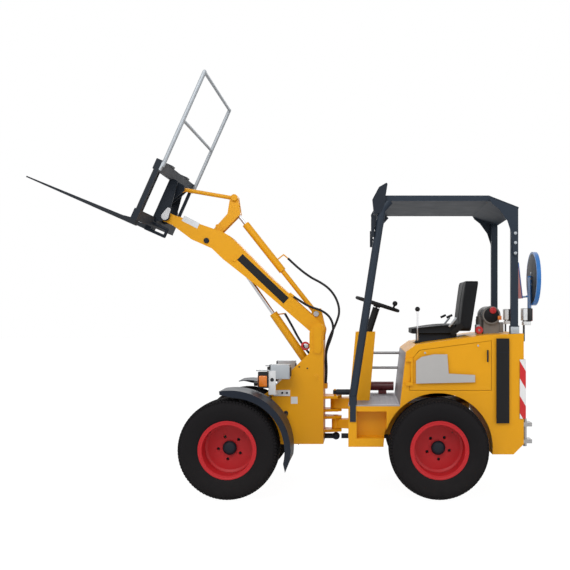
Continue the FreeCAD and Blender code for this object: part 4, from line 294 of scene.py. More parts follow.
FINISHES = {finish.name: finish for finish in (
    YELLOW, SLATE, DARK, BLACK, GUARD, RED_RIM, RUBBER, CHROME, STEEL, GALVANISED, FORK, ENGINE,
    TREAD, SEAT, BOTTLE, LAMP, BLUE, GRIP, PIN_YELLOW)}


def dress_frame() -> None:
    """Give every CAD node the finish of its material slot."""
    slots = {part["node"]: part["material_slot"] for part in frame["record"]["subparts"]}
    for name, obj in frame["nodes"].items():
        material = FINISHES[slots[name]].build()
        for place in obj.material_slots:
            place.material = material
        if not obj.material_slots:
            obj.data.materials.append(material)
        LOG.info("%s takes %s", name, material.name)


# ------------------------------------------------------------------ modelling
def pick(obj: bpy.types.Object) -> None:
    """Select one object alone and make it the active one.

    Args:
        obj: Object to select.
    """
    bpy.ops.object.select_all(action="DESELECT")
    obj.select_set(True)
    bpy.context.view_layer.objects.active = obj


def settle(obj: bpy.types.Object) -> bpy.types.Object:
    """Move an object's place into its mesh, so that it ends at the origin.

    Args:
        obj: Object to settle.

    Returns:
        The same object.
    """
    pick(obj)
    bpy.ops.object.transform_apply(location=True, rotation=True, scale=True)
    return obj


def modify(obj: bpy.types.Object, kind: str, **settings) -> bpy.types.Object:
    """Add a modifier and apply it.

    Args:
        obj: Object to change.
        kind: Modifier type.
        **settings: Properties of the modifier.

    Returns:
        The same object.
    """
    pick(obj)
    modifier = obj.modifiers.new(kind.lower(), kind)
    for key, value in settings.items():
        setattr(modifier, key, value)
    bpy.ops.object.modifier_apply(modifier=modifier.name)
    return obj


def outward(obj: bpy.types.Object) -> None:
    """Merge doubled points, drop empty faces and turn all normals outward.

    Args:
        obj: Object to clean.
    """
    pick(obj)
    bpy.ops.object.mode_set(mode="EDIT")
    bpy.ops.mesh.select_all(action="SELECT")
    bpy.ops.mesh.remove_doubles(threshold=1e-6)
    bpy.ops.mesh.dissolve_degenerate(threshold=1e-6)
    bpy.ops.mesh.normals_make_consistent(inside=False)
    bpy.ops.object.mode_set(mode="OBJECT")


def box(name: str, low: Point, high: Point, bevel: float = 0.002,
        segments: int = 2) -> bpy.types.Object:
    """Box between two corners with rounded edges.

    Args:
        name: Name of the piece.
        low: Lowest corner in metres.
        high: Highest corner in metres.
        bevel: Width of the rounding.
        segments: Facets of the rounding.

    Returns:
        The box, settled at the origin.
    """
    bpy.ops.mesh.primitive_cube_add(
        size=1.0, location=[(a + b) / 2 for a, b in zip(low, high)],
        scale=[b - a for a, b in zip(low, high)])
    obj = bpy.context.object
    obj.name = name
    settle(obj)
    return modify(obj, "BEVEL", width=bevel, segments=segments, limit_method="ANGLE")


def drum(name: str, at: Point, axis: Axis, radius: float, length: float, sides: int = 40,
         bevel: float = 0.001) -> bpy.types.Object:
    """Round piece centred at a point with rounded rims.

    Args:
        name: Name of the piece.
        at: Centre in metres.
        axis: Direction of its axis.
        radius: Radius.
        length: Length along the axis.
        sides: Facets around.
        bevel: Width of the rounding.

    Returns:
        The drum, settled at the origin.
    """
    bpy.ops.mesh.primitive_cylinder_add(vertices=sides, radius=radius, depth=length, location=at,
                                        rotation=axis.value)
    obj = bpy.context.object
    obj.name = name
    settle(obj)
    return modify(obj, "BEVEL", width=bevel, segments=2, limit_method="ANGLE",
                  angle_limit=math.radians(40))


def lathe(name: str, profile: Sequence[tuple[float, float]], at: Point,
          steps: int = 96) -> bpy.types.Object:
    """Closed ring turned about a line along Y.

    Args:
        name: Name of the piece.
        profile: Closed outline as offset along the axis and radius.
        at: Centre in metres.
        steps: Facets around.

    Returns:
        The ring, settled at the origin.
    """
    bpy.ops.mesh.primitive_circle_add(vertices=len(profile), radius=1.0)
    obj = bpy.context.object
    obj.name = name
    for vertex, (along, radius) in zip(obj.data.vertices, profile):
        vertex.co = (radius, along, 0.0)
    modify(obj, "SCREW", axis="Y", steps=steps, render_steps=steps, use_merge_vertices=True,
           merge_threshold=1e-5)
    outward(obj)
    obj.location = at
    return settle(obj)


def sheet_of(name: str, outline: Sequence[tuple[float, float]], low: float, high: float,
             bevel: float = 0.0006) -> bpy.types.Object:
    """Flat plate with an outline in the XZ plane.

    Args:
        name: Name of the piece.
        outline: Corners as X and Z in metres.
        low: Y of one face.
        high: Y of the other face.
        bevel: Width of the rounding.

    Returns:
        The plate, settled at the origin.
    """
    bpy.ops.mesh.primitive_circle_add(vertices=len(outline), radius=1.0, fill_type="NGON")
    obj = bpy.context.object
    obj.name = name
    for vertex, (x, z) in zip(obj.data.vertices, outline):
        vertex.co = (x, low, z)
    bpy.ops.object.mode_set(mode="EDIT")
    bpy.ops.mesh.select_all(action="SELECT")
    bpy.ops.mesh.extrude_region_move(TRANSFORM_OT_translate={"value": (0.0, high - low, 0.0)})
    bpy.ops.object.mode_set(mode="OBJECT")
    outward(obj)
    return modify(obj, "BEVEL", width=bevel, segments=1, limit_method="ANGLE")


def twin(obj: bpy.types.Object, name: str, shift: Point = (0.0, 0.0, 0.0),
         scale: Point = (1.0, 1.0, 1.0)) -> bpy.types.Object:
    """Copy a piece with its own mesh, scaled and moved by a step.

    Args:
        obj: Piece to copy.
        name: Name of the copy.
        shift: Step in metres.
        scale: Factor along each axis.

    Returns:
        The copy, settled at the origin.
    """
    other = obj.copy()
    other.data = obj.data.copy()
    other.name = name
    bpy.context.collection.objects.link(other)
    other.location, other.scale = shift, scale
    return settle(other)


def mirrored(obj: bpy.types.Object, name: str) -> bpy.types.Object:
    """Copy a piece with its own mesh to the right side.

    Args:
        obj: Piece on the left side.
        name: Name of the copy.

    Returns:
        The copy, settled at the origin.
    """
    other = twin(obj, name, scale=(1.0, -1.0, 1.0))
    outward(other)
    return other


def join(name: str, pieces: Sequence[bpy.types.Object]) -> bpy.types.Object:
    """Put several pieces into one object.

    Args:
        name: Name of the joined object.
        pieces: Pieces to join.

    Returns:
        The joined object.
    """
    pick(pieces[0])
    for piece in pieces:
        piece.select_set(True)
    bpy.ops.object.join()
    obj = bpy.context.object
    obj.name = name
    return obj


def hand_over(obj: bpy.types.Object, finish: Finish, body: str, *nodes: str,
              angle: float = 32.0) -> bpy.types.Object:
    """Give a piece its finish and let it ride on a body.

    Args:
        obj: Finished piece.
        finish: Its surface.
        body: Body that carries it.
        *nodes: CAD nodes that it stands for.
        angle: Edge angle in degrees under which it is shaded smooth.

    Returns:
        The same object.
    """
    obj.data.materials.clear()
    obj.data.materials.append(finish.build())
    pick(obj)
    bpy.ops.object.shade_smooth_by_angle(angle=math.radians(angle))
    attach(obj, body)
    if nodes:
        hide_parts(*nodes)
    return obj


# ------------------------------------------------------------------ hoses
@dataclass
class Hose:
    """Pressure hose along its route between the frame and a moving piece."""

    name: str
    far_body: str
    length: float
    still_at: Point
    moving_at: Point
    route: Sequence[Point]
    diameter: float = 0.018

    def build(self) -> bpy.types.Object:
        """Make the hose as a mesh tube along its spline.

        Returns:
            The hose.
        """
        bare = self._curve(0.0)
        line = bpy.data.meshes.new_from_object(bare)
        bpy.data.objects.remove(bare)
        tube = self._curve(self.diameter / 2)
        pick(tube)
        bpy.ops.object.convert(target="MESH")
        tube = bpy.context.object
        tube.name = f"{self.name}_rubber"
        tube.data.materials.clear()
        tube.data.materials.append(HOSE.build())
        outward(tube)
        bpy.ops.object.shade_smooth_by_angle(angle=math.radians(60))
        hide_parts(self.name)
        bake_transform(tube)
        return tube

    def _curve(self, radius: float) -> bpy.types.Object:
        """Curve object with the route's points as control points.

        Args:
            radius: Radius of the tube, or 0 for the bare line.

        Returns:
            The curve object.
        """
        data = bpy.data.curves.new(self.name, "CURVE")
        data.dimensions = "3D"
        data.resolution_u = 8
        data.bevel_depth = radius
        data.bevel_resolution = 4
        data.use_fill_caps = True
        spline = data.splines.new("NURBS")
        spline.points.add(len(self.route) - 1)
        for point, at in zip(spline.points, self.route):
            point.co = (*at, 1.0)
        spline.order_u = 3
        spline.use_endpoint_u = True
        obj = bpy.data.objects.new(self.name + "_curve", data)
        bpy.context.collection.objects.link(obj)
        return obj


HOSES = (
    Hose("tilt_hose", "tilt_base", 1.191, (0.05, 0.0, 1.10), (0.36, 0.0, 1.76), (
        (0.3804, 0.0, 1.7839), (0.251, 0.002, 1.658), (0.078, 0.005, 1.572),
        (-0.001, 0.008, 1.477), (-0.032, 0.010, 1.367), (-0.001, 0.010, 1.269),
        (0.044, 0.010, 1.179), (0.074, 0.010, 1.095), (0.080, 0.010, 1.0008),
        (0.072, 0.010, 0.9008), (0.080, 0.010, 0.8008))),
    Hose("boom_hose", "boom", 0.860, (0.03, 0.08, 1.20), (0.31, 0.09, 1.47), (
        (0.3293, 0.092, 1.4794), (0.285, 0.091, 1.450), (0.205, 0.088, 1.400),
        (0.115, 0.084, 1.375), (0.045, 0.080, 1.325), (0.014, 0.076, 1.240),
        (0.038, 0.073, 1.150), (0.072, 0.070, 1.065), (0.081, 0.067, 0.9708),
        (0.074, 0.065, 0.8858), (0.080, 0.065, 0.8008))),
    Hose("lift_hose", "lift_barrel", 0.481, (0.17, 0.05, 1.00), (0.39, 0.02, 1.33), (
        (0.40335, 0.024, 1.3481), (0.352, 0.028, 1.262), (0.302, 0.034, 1.165),
        (0.250, 0.040, 1.085), (0.190, 0.048, 1.010), (0.1188, 0.054, 0.9724))),
)


# ------------------------------------------------------------------ wheels
@dataclass
class Tyre:
    """Turf tyre: a round carcass with staggered rows of small blocks."""

    radius: float = 0.364
    groove: float = 0.009
    pitch: float = 0.0254
    block: float = 0.0185
    around: int = 88
    rows: int = 11
    carcass: Sequence[tuple[float, float]] = (
        (-0.128, 0.196), (-0.134, 0.211), (-0.142, 0.219), (-0.150, 0.240), (-0.155, 0.266),
        (-0.157, 0.292), (-0.154, 0.314), (-0.147, 0.331), (-0.136, 0.342), (-0.118, 0.3495),
        (-0.080, 0.3535), (-0.040, 0.3550), (0.0, 0.3555))

    def build(self, name: str, at: Point) -> bpy.types.Object:
        """Make the tyre.

        Args:
            name: Name of the tyre.
            at: Wheel centre in metres.

        Returns:
            The tyre.
        """
        outline = list(self.carcass) + [(-y, r) for y, r in reversed(self.carcass[:-1])]
        body = lathe(name, outline, (0.0, 0.0, 0.0))
        tyre = join(name, [body, self._tread()])
        tyre.location = at
        return settle(tyre)

    def _crown(self, along: float) -> float:
        """Radius of the carcass at a distance from its middle.

        Args:
            along: Distance along the axle.

        Returns:
            The radius in metres.
        """
        spots = [(-y, r) for y, r in reversed(self.carcass)]
        for (y0, r0), (y1, r1) in zip(spots, spots[1:]):
            if y0 <= abs(along) <= y1:
                return r0 + (r1 - r0) * (abs(along) - y0) / (y1 - y0)
        return spots[-1][1]

    def _tread(self) -> bpy.types.Object:
        """Blocks of one slice of the tread, repeated around the wheel.

        Returns:
            The tread as one object.
        """
        blocks = []
        half = self.block / 2
        for row in range(self.rows):
            along = (row - (self.rows - 1) / 2) * self.pitch
            root = self._crown(along)
            top = min(self.radius, root + self.groove)
            wide = 1.35 if row in (0, self.rows - 1) else 1.0
            block = box(f"block_{row}", (-half, along - half * wide, root - 0.008),
                        (half, along + half * wide, top), bevel=0.0022, segments=1)
            block.rotation_euler = (0.0, math.pi / self.around * (row % 2), 0.0)
            settle(block)
            blocks.append(block)
        tread = join("tread", blocks)
        step = bpy.data.objects.new("tread_step", None)
        bpy.context.collection.objects.link(step)
        step.rotation_euler = (0.0, 2 * math.pi / self.around, 0.0)
        bpy.context.view_layer.update()
        modify(tread, "ARRAY", count=self.around, use_relative_offset=False,
               use_object_offset=True, offset_object=step)
        bpy.data.objects.remove(step)
        return tread


@dataclass
class Wheel:
    """Tyre, rim lip, dished ring, hub cap and bolts of one wheel."""

    end: str
    side: str
    x: float
    y: float
    z: float = 0.364
    bolt_turn: float = 65.0
    bolts: int = 5
    bolt_circle: float = 0.086

    def build(self, tyre: bpy.types.Object) -> None:
        """Dress the wheel.

        Args:
            tyre: Finished tyre at the origin, to be copied.
        """
        body = f"{self.end}_{self.side}_wheel"
        at = (self.x, self.y, self.z)
        sign = 1 if self.y > 0 else -1
        name = f"{self.end}_{self.side}"
        hand_over(twin(tyre, f"{name}_turf_tyre", at), RUBBER, body,
                  f"{self.end}_tyre_{self.side}", angle=25)
        lip = [(sign * a, r) for a, r in (
            (0.1280, 0.2050), (0.1290, 0.2105), (0.1335, 0.2130), (0.1385, 0.2115),
            (0.1395, 0.2060), (0.1380, 0.1990), (0.1330, 0.1935), (0.1240, 0.1900),
            (0.1120, 0.1855), (0.1120, 0.1825), (0.1290, 0.1835), (0.1340, 0.1900))]
        hand_over(lathe(f"{name}_rim_lip", lip, at), RED_RIM, body, angle=50)
        ring = [(sign * a, r) for a, r in (
            (-0.0265, 0.1830), (0.0020, 0.1820), (-0.0040, 0.1640), (-0.0130, 0.1540),
            (-0.0160, 0.1330), (-0.0225, 0.1260), (-0.0262, 0.1210), (-0.0268, 0.1210))]
        hand_over(lathe(f"{name}_rim_dish", ring, at), RED_RIM, body, angle=40)
        cap = [(sign * a, r) for a, r in (
            (-0.020, 0.0462), (0.006, 0.0462), (0.012, 0.0520), (0.0185, 0.0500),
            (0.0290, 0.0400), (0.0330, 0.0260), (0.0335, 0.0010), (-0.020, 0.0010))]
        hand_over(lathe(f"{name}_hub_cap", cap, at, steps=48), DARK, body, angle=40)
        nuts = []
        for number in range(self.bolts):
            turn = math.radians(self.bolt_turn + 360 / self.bolts * number)
            spot = (self.x + self.bolt_circle * math.cos(turn), self.y - sign * 0.030,
                    self.z + self.bolt_circle * math.sin(turn))
            nuts.append(drum(f"{name}_nut_{number}", spot, Axis.Y, 0.0105, 0.012, sides=6))
        hand_over(join(f"{name}_wheel_nuts", nuts), DARK, body)
        stem = (self.x - 0.105, self.y - sign * 0.016, self.z + 0.110)
        hand_over(drum(f"{name}_valve", stem, Axis.Y, 0.004, 0.030, sides=12), BLACK, body)


def dress_wheels() -> None:
    """Dress the four wheels from one modelled tyre."""
    tyre = Tyre().build("turf_tyre", (0.0, 0.0, 0.0))
    for end, x, turn in (("front", 0.763, 65.0), ("rear", -0.763, 51.0)):
        for side, sign in (("left", 1), ("right", -1)):
            Wheel(end, side, x, sign * 0.491, bolt_turn=turn).build(tyre)
    bpy.data.objects.remove(tyre)


# ------------------------------------------------------------------ lamps and front fittings
def dress_front_lamps(sign: int, side: str) -> None:
    """Housing, indicator, marker, visor and bracket of one front lamp.

    Args:
        sign: 1 on the left and -1 on the right.
        side: Name of the side.
    """
    def put(name: str, low: Point, high: Point, finish: Finish, bevel: float = 0.003) -> None:
        """Rounded box of the lamp, turned to its side.

        Args:
            name: Name of the box without its side.
            low: Lowest corner on the left side.
            high: Highest corner on the left side.
            finish: Its surface.
            bevel: Width of the rounding.
        """
        spots = sorted((sign * low[1], sign * high[1]))
        hand_over(box(f"{side}_{name}", (low[0], spots[0], low[2]), (high[0], spots[1], high[2]),
                      bevel=bevel, segments=3), finish, "front")

    put("lamp_case", (0.3395, 0.2115, 0.8515), (0.4860, 0.3206, 0.9605), SILVER, 0.004)
    put("lamp_lens", (0.4780, 0.2180, 0.8570), (0.4950, 0.3080, 0.9560), CLEAR, 0.006)
    put("lamp_back", (0.3330, 0.2300, 0.8700), (0.3400, 0.2950, 0.9400), LAMP, 0.003)
    put("lamp_side_plate", (0.4445, 0.3195, 0.7345), (0.4985, 0.3268, 0.9155), WHITE, 0.002)
    put("signal_case", (0.4975, 0.2850, 0.7860), (0.5765, 0.3355, 0.9080), LAMP, 0.010)
    put("signal_lens", (0.5090, 0.3300, 0.7960), (0.5700, 0.3420, 0.8790), AMBER, 0.010)
    put("signal_front_lens", (0.5740, 0.2910, 0.7960), (0.5800, 0.3300, 0.8790), AMBER, 0.002)
    put("visor", (0.4835, 0.2855, 0.9135), (0.5925, 0.3305, 0.9205), SILVER, 0.002)
    put("bracket_foot", (0.3480, 0.1755, 0.7115), (0.4755, 0.1850, 0.7585), WHITE, 0.003)
    put("bracket_arm", (0.4440, 0.1760, 0.7340), (0.4760, 0.3200, 0.7590), WHITE, 0.003)
    bolts = []
    for number, x in enumerate((0.372, 0.408)):
        bolts.append(drum(f"bracket_bolt_{number}", (x, sign * 0.1880, 0.7365), Axis.Y,
                          0.009, 0.008, sides=6))
    hand_over(join(f"{side}_bracket_bolts", bolts), DARK, "front")
    # Dark disc on the side plate is painted shade, standing in for the inside of its slot.
    hand_over(drum(f"{side}_plate_slot_shade", (0.4715, sign * 0.3272, 0.8480), Axis.Y, 0.014, 0.0022),
              LAMP, "front")
    hand_over(drum(f"{side}_side_marker", (0.5925, sign * 0.3110, 0.8200), Axis.X, 0.0195,
                   0.034, bevel=0.008), LAMP, "front")


def dress_front_frame() -> None:
    """Blank sticker, plug bosses, coupler, and dark discs of painted shade for the tapped holes on
    the front frame.
    """
    face = 0.1762
    hand_over(box("blank_sticker", (0.2910, face - 0.0004, 0.6520), (0.3430, face + 0.0009, 0.7060),
                  bevel=0.0002, segments=1), LABEL, "front")
    # Dark discs on the face are painted shade, standing in for the inside of the two tapped holes.
    holes = [drum(f"brow_hole_{number}", (x, face, z), Axis.Y, 0.0065, 0.0016, sides=20,
                  bevel=0.0003)
             for number, (x, z) in enumerate(((0.278, 0.936), (0.216, 0.925)))]
    hand_over(join("brow_hole_shade_discs", holes), LAMP, "front")
    hand_over(drum("frame_boss", (0.145, face + 0.0004, 0.860), Axis.Y, 0.018, 0.005,
                   bevel=0.0015), YELLOW, "front")
    hand_over(drum("frame_boss_tip", (0.145, face + 0.0030, 0.860), Axis.Y, 0.006, 0.004),
              YELLOW, "front")
    hand_over(drum("lashing_washer", (0.382, face + 0.0005, 0.579), Axis.Y, 0.019, 0.002),
              DARK, "front")
    ring = [(a, r) for a, r in ((-0.010, 0.018), (-0.010, 0.030), (-0.005, 0.034),
                                (0.005, 0.034), (0.010, 0.030), (0.010, 0.018))]
    hand_over(lathe("coupler_ring", ring, (0.235, 0.120, 1.095), steps=48), COUPLER_RED, "front")
    hand_over(drum("coupler_body", (0.225, 0.1185, 1.095), Axis.Y, 0.0175, 0.033, bevel=0.003),
              STEEL, "front")


# ------------------------------------------------------------------ labels and plates
BOOM_PIVOT = (0.136, 1.218)
BOOM_RISE = math.radians(36.7)
BOOM_FACE = 0.100


def on_boom(along: float, off: float) -> tuple[float, float]:
    """Turn a point of the boom's own frame into world coordinates.

    Args:
        along: Distance from the pivot along the boom.
        off: Distance above the boom's axis.

    Returns:
        World X and Z.
    """
    return (BOOM_PIVOT[0] + along * math.cos(BOOM_RISE) - off * math.sin(BOOM_RISE),
            BOOM_PIVOT[1] + along * math.sin(BOOM_RISE) + off * math.cos(BOOM_RISE))


def boom_plate(name: str, start: tuple[float, float], end: tuple[float, float],
               wide: float) -> bpy.types.Object:
    """Thin plate on the boom's left face along a line in the boom's frame.

    Args:
        name: Name of the plate.
        start: One end of its middle line.
        end: The other end.
        wide: Width across the line.

    Returns:
        The plate.
    """
    dx, dz = end[0] - start[0], end[1] - start[1]
    reach = math.hypot(dx, dz)
    side = (-dz / reach * wide / 2, dx / reach * wide / 2)
    outline = [on_boom(start[0] - side[0], start[1] - side[1]),
               on_boom(end[0] - side[0], end[1] - side[1]),
               on_boom(end[0] + side[0], end[1] + side[1]),
               on_boom(start[0] + side[0], start[1] + side[1])]
    return sheet_of(name, outline, BOOM_FACE - 0.0002, BOOM_FACE + 0.0012, bevel=0.0003)


def in_boom(x: float, z: float) -> tuple[float, float]:
    """Turn a world point into the boom's own frame.

    Args:
        x: World X.
        z: World Z.

    Returns:
        Distance along the boom and above its axis.
    """
    dx, dz = x - BOOM_PIVOT[0], z - BOOM_PIVOT[1]
    return (dx * math.cos(BOOM_RISE) + dz * math.sin(BOOM_RISE),
            -dx * math.sin(BOOM_RISE) + dz * math.cos(BOOM_RISE))


def dress_boom() -> None:
    """Bare dark plates, blank label and couplers on the boom."""
    low, high = in_boom(0.386, 1.447), in_boom(0.747, 1.789)
    plate = boom_plate("boom_bare_plate", low, high, 0.062)
    hand_over(plate, BARE, "boom")
    hand_over(mirrored(plate, "boom_bare_plate_right"), BARE, "boom")
    label = boom_plate("boom_blank_label", in_boom(1.070, 2.030), in_boom(1.190, 2.092), 0.046)
    hand_over(label, LABEL, "boom")
    tubes = []
    for number, (along, off) in enumerate(((1.060, 0.088), (1.095, 0.086))):
        cx, cz = on_boom(along, off)
        tubes.append(drum(f"coupler_{number}", (cx, 0.0805, cz), Axis.Y, 0.015, 0.029,
                          bevel=0.004))
    hand_over(join("boom_couplers", tubes), COUPLER_RED, "boom")


def both_sides(piece: bpy.types.Object, finish: Finish, body: str, *nodes: str) -> None:
    """Hand a left piece over and its mirrored copy too.

    Args:
        piece: Piece on the left side.
        finish: Surface of both.
        body: Body that carries both.
        *nodes: CAD nodes that the left piece stands for.
    """
    other = mirrored(piece, f"{piece.name}_right")
    hand_over(piece, finish, body, *nodes)
    hand_over(other, finish, body)


def dress_body() -> None:
    """Dark plate, door panel, dark strips of painted shade for the slot handles, and door bolts of
    the rear body.
    """
    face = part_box("engine_cover")[1][1]
    both_sides(box("bare_plate", (-1.281, face - 0.0006, 0.545), (-1.186, face + 0.0012, 1.165),
                   bevel=0.0005, segments=1), BARE, "rear")
    hand_over(box("plate_seams", (-1.281, face + 0.0008, 1.062), (-1.186, face + 0.0015, 1.064),
                  bevel=0.0002, segments=1), DARK, "rear")
    for side, sign in (("left", 1), ("right", -1)):
        body, low, high = f"{side}_door", *sorted(y for y in (
            sign * (DOOR_FACE - 0.0006), sign * (DOOR_FACE + 0.0012)))
        # Dark strip on the door face is painted shade, standing in for the inside of the slot
        # handle.
        hand_over(box(f"{side}_door_slot_shade", (-1.130, low, 0.992), (-1.117, high, 1.080),
                      bevel=0.0004, segments=1), LAMP, body)
        studs = [drum(f"{side}_stud_{number}", (x, sign * (DOOR_FACE + 0.0012), z), Axis.Y,
                      0.0075, 0.004, sides=16)
                 for number, (x, z) in enumerate(((-1.053, 1.112), (-0.665, 1.060)))]
        hand_over(join(f"{side}_door_studs", studs), GALVANISED, body)
    panel = sheet_of("door_panel", [
        (-0.600, 0.835), (-1.031, 0.845), (-1.031, 0.898), (-0.838, 0.908), (-0.828, 1.049),
        (-0.730, 1.049), (-0.640, 1.030), (-0.600, 1.000)], DOOR_FACE - 0.0006,
        DOOR_FACE + 0.0010, bevel=0.0003)
    hand_over(panel, DOOR_GREY, "left_door")


def dress_rear_lamps() -> None:
    """Lens, case and back of the two rear lamps, and the banded boards."""
    at = (-1.395, 0.400, 1.340)
    for name, low, high, bevel, segments, finish in (
            ("lamp_shell", (-0.0350, -0.0460, -0.0458), (0.0008, 0.0460, 0.0458), 0.006, 3, WHITE),
            ("lamp_dark", (-0.0640, -0.0464, -0.0520), (-0.0340, 0.0464, 0.0460), 0.004, 3, LAMP),
            ("lamp_red", (-0.0725, -0.0430, -0.0480), (-0.0630, 0.0430, 0.0420), 0.003, 3,
             RED_LENS),
            ("lamp_lower_block", (-0.0600, -0.0360, -0.0790), (-0.0050, 0.0420, -0.0520), 0.004,
             2, WHITE)):
        corners = [tuple(a + b for a, b in zip(at, corner)) for corner in (low, high)]
        both_sides(box(name, *corners, bevel=bevel, segments=segments), finish, "rear")
    side = box("banded_side", (-1.4035, 0.5045, 0.5765), (-1.3598, 0.5062, 1.0105),
               bevel=0.0004, segments=1)
    rear = box("banded_rear", (-1.4045, 0.3805, 0.5765), (-1.4025, 0.5062, 1.0105),
               bevel=0.0004, segments=1)
    both_sides(join("banded_board_left", [side, rear]), BANDED, "rear")


def dress_rear_sign() -> None:
    """Dark back, bolts and clamp of the round disc, and the red warning triangle."""
    at = (-1.4725, 0.370, 1.607)
    hand_over(drum("disc_back", at, Axis.X, 0.184, 0.0020, sides=96), DARK, "rear")
    nuts = [drum(f"disc_nut_{number}", (-1.4690, 0.370, z), Axis.X, 0.011, 0.010, sides=6)
            for number, z in enumerate((1.567, 1.647))]
    hand_over(join("disc_nuts", nuts), GALVANISED, "rear")
    hand_over(drum("stem_sleeve", (-1.457, 0.370, 1.500), Axis.Z, 0.0150, 0.240, bevel=0.003),
              GALVANISED, "rear")
    hand_over(drum("disc_clamp", (-1.4620, 0.370, 1.607), Axis.X, 0.0150, 0.020, bevel=0.003),
              STEEL, "rear")
    for step, name in ((-0.0012, "triangle_back"), (0.0068, "triangle_front")):
        bpy.ops.mesh.primitive_circle_add(vertices=3, radius=1.0, fill_type="NGON")
        obj = bpy.context.object
        obj.name = name
        corners = ((-0.104, 1.4635), (0.224, 1.4635), (0.060, 1.7485))
        for vertex, (y, z) in zip(obj.data.vertices, corners):
            vertex.co = (-1.435 + step, y, z)
        modify(obj, "SOLIDIFY", thickness=0.0006, offset=0.0)
        outward(obj)
        hand_over(obj, COUPLER_RED, "rear")


def dress_posts() -> None:
    """Gussets, bolts and shoes of the rear posts."""
    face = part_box("rear_posts")[1][1]
    both_sides(sheet_of("post_gusset", [
        (-1.137, 2.190), (-1.160, 2.150), (-1.209, 2.112), (-1.270, 2.027), (-1.298, 1.940),
        (-1.306, 1.860), (-1.309, 1.785), (-1.330, 1.764), (-1.350, 1.772), (-1.350, 2.112),
        (-1.240, 2.158)], face - 0.0005, face + 0.0050, bevel=0.001), SLATE, "rear")
    bolts = [drum(f"post_bolt_{number}", (-1.3290, face + 0.0085, z), Axis.Y, 0.0125, 0.009,
                  sides=6) for number, z in enumerate((1.7890, 1.8650, 1.9350))]
    both_sides(join("post_bolts", bolts), GALVANISED, "rear")
    both_sides(box("post_shoe", (-1.3560, face - 0.0460, 1.1985), (-1.2940, face + 0.0050, 1.2500),
                   bevel=0.003), GALVANISED, "rear")


def dress_lever() -> None:
    """Bright stem, black ball and rubber boot of the control lever."""
    x, y, foot, top, ball = -0.625, 0.300, 1.112, 1.380, 0.019
    hand_over(drum("lever_stem", (x, y, (foot + top) / 2), Axis.Z, 0.0055, top - foot, sides=24),
              CHROME, "rear", "control_lever")
    outline = [(ball * math.sin(turn), ball * math.cos(turn)) for turn in (
        math.radians(step) for step in range(-90, 91, 15))]
    hand_over(lathe("lever_ball", outline, (x, y, top), steps=32), GRIP, "rear")
    hand_over(drum("lever_boot", (x, y, foot + 0.018), Axis.Z, 0.021, 0.026, bevel=0.008), GRIP,
              "rear")


def dress_footwell() -> None:
    """Raised bars of the tread plate on the floor and the plate on the seat box."""
    low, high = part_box("footwell_floor")
    pitch, long, wide, proud = 0.044, 0.015, 0.003, 0.0012
    rows = int((high[0] - low[0] - pitch) / pitch)
    columns = int((high[1] - low[1] - pitch) / pitch)
    for lean, shift in ((45, 0.0), (-45, pitch / 2)):
        bar = box(f"tread_bar_{lean}", (-long, -wide, -proud), (long, wide, proud), bevel=0.0008,
                  segments=1)
        bar.rotation_euler = (0.0, 0.0, math.radians(lean))
        bar.location = (low[0] + pitch / 2 + shift, low[1] + pitch / 2 + shift, high[2])
        settle(bar)
        modify(bar, "ARRAY", count=rows, use_relative_offset=False, use_constant_offset=True,
               constant_offset_displace=(pitch, 0.0, 0.0))
        modify(bar, "ARRAY", count=columns, use_relative_offset=False, use_constant_offset=True,
               constant_offset_displace=(0.0, pitch, 0.0))
        bar.name = "tread_bars" if lean > 0 else "tread_bars_crossed"
        hand_over(bar, TREAD, "rear")
    wall = sheet_of("seat_box_tread", [(-0.4835, 0.677), (-0.4815, 0.677), (-0.5247, 1.060),
                                       (-0.5267, 1.060)], -0.496, 0.496, bevel=0.0004)
    hand_over(wall, TREAD, "rear")


def dress_crank_pins() -> None:
    """Domed caps on the two pins of the bell crank."""
    for name, at, half, seat, radius, finish, body, node in (
            ("crank_top_caps", (0.799, 0.0, 2.258), 0.061, 0.041, 0.027, PIN_YELLOW, "link_axle",
             "crank_top_pin"),
            ("crank_pivot_caps", (1.007474, 0.0, 1.916219), 0.113, 0.101, 0.021, DARK,
             "crank_axle", "crank_pivot_pin")):
        side = [(half, 0.0), (half, radius * 0.8), (half - 0.004, radius), (seat, radius),
                (seat, 0.0138)]
        outline = side + [(-along, off) for along, off in reversed(side)]
        hand_over(lathe(name, outline, at, steps=48), finish, body, node)


def dress_engine_top() -> None:
    """Filter clamp, red and amber caps and a hose stub behind the seat."""
    hand_over(drum("filter_clamp", (-1.208, 0.105, 1.335), Axis.Y, 0.0715, 0.012, sides=64),
              GALVANISED, "rear")
    hand_over(drum("filter_lid", (-1.208, 0.1505, 1.335), Axis.Y, 0.058, 0.006, sides=64,
                   bevel=0.002), BLACK, "rear")
    hand_over(drum("red_cap", (-1.217, 0.1600, 1.372), Axis.Y, 0.026, 0.022, bevel=0.004),
              COUPLER_RED, "rear")
    hand_over(box("amber_cap", (-1.283, 0.150, 1.298), (-1.254, 0.172, 1.330), bevel=0.004),
              AMBER, "rear")
    for number, (x, y, z, radius, high) in enumerate((
            (-1.130, 0.060, 1.262, 0.030, 0.130), (-1.150, -0.050, 1.250, 0.038, 0.110),
            (-1.285, 0.110, 1.240, 0.022, 0.080), (-1.100, 0.150, 1.228, 0.022, 0.070))):
        hand_over(drum(f"engine_boss_{number}", (x, y, z), Axis.Z, radius, high, bevel=0.006),
                  GALVANISED if number % 2 else ENGINE, "rear")
    ring = [(a, r) for a, r in ((-0.012, 0.010), (-0.012, 0.026), (0.0, 0.030),
                                (0.012, 0.026), (0.012, 0.010))]
    hand_over(lathe("red_knob", ring, (-1.092, 0.300, 1.222), steps=40), COUPLER_RED, "rear")


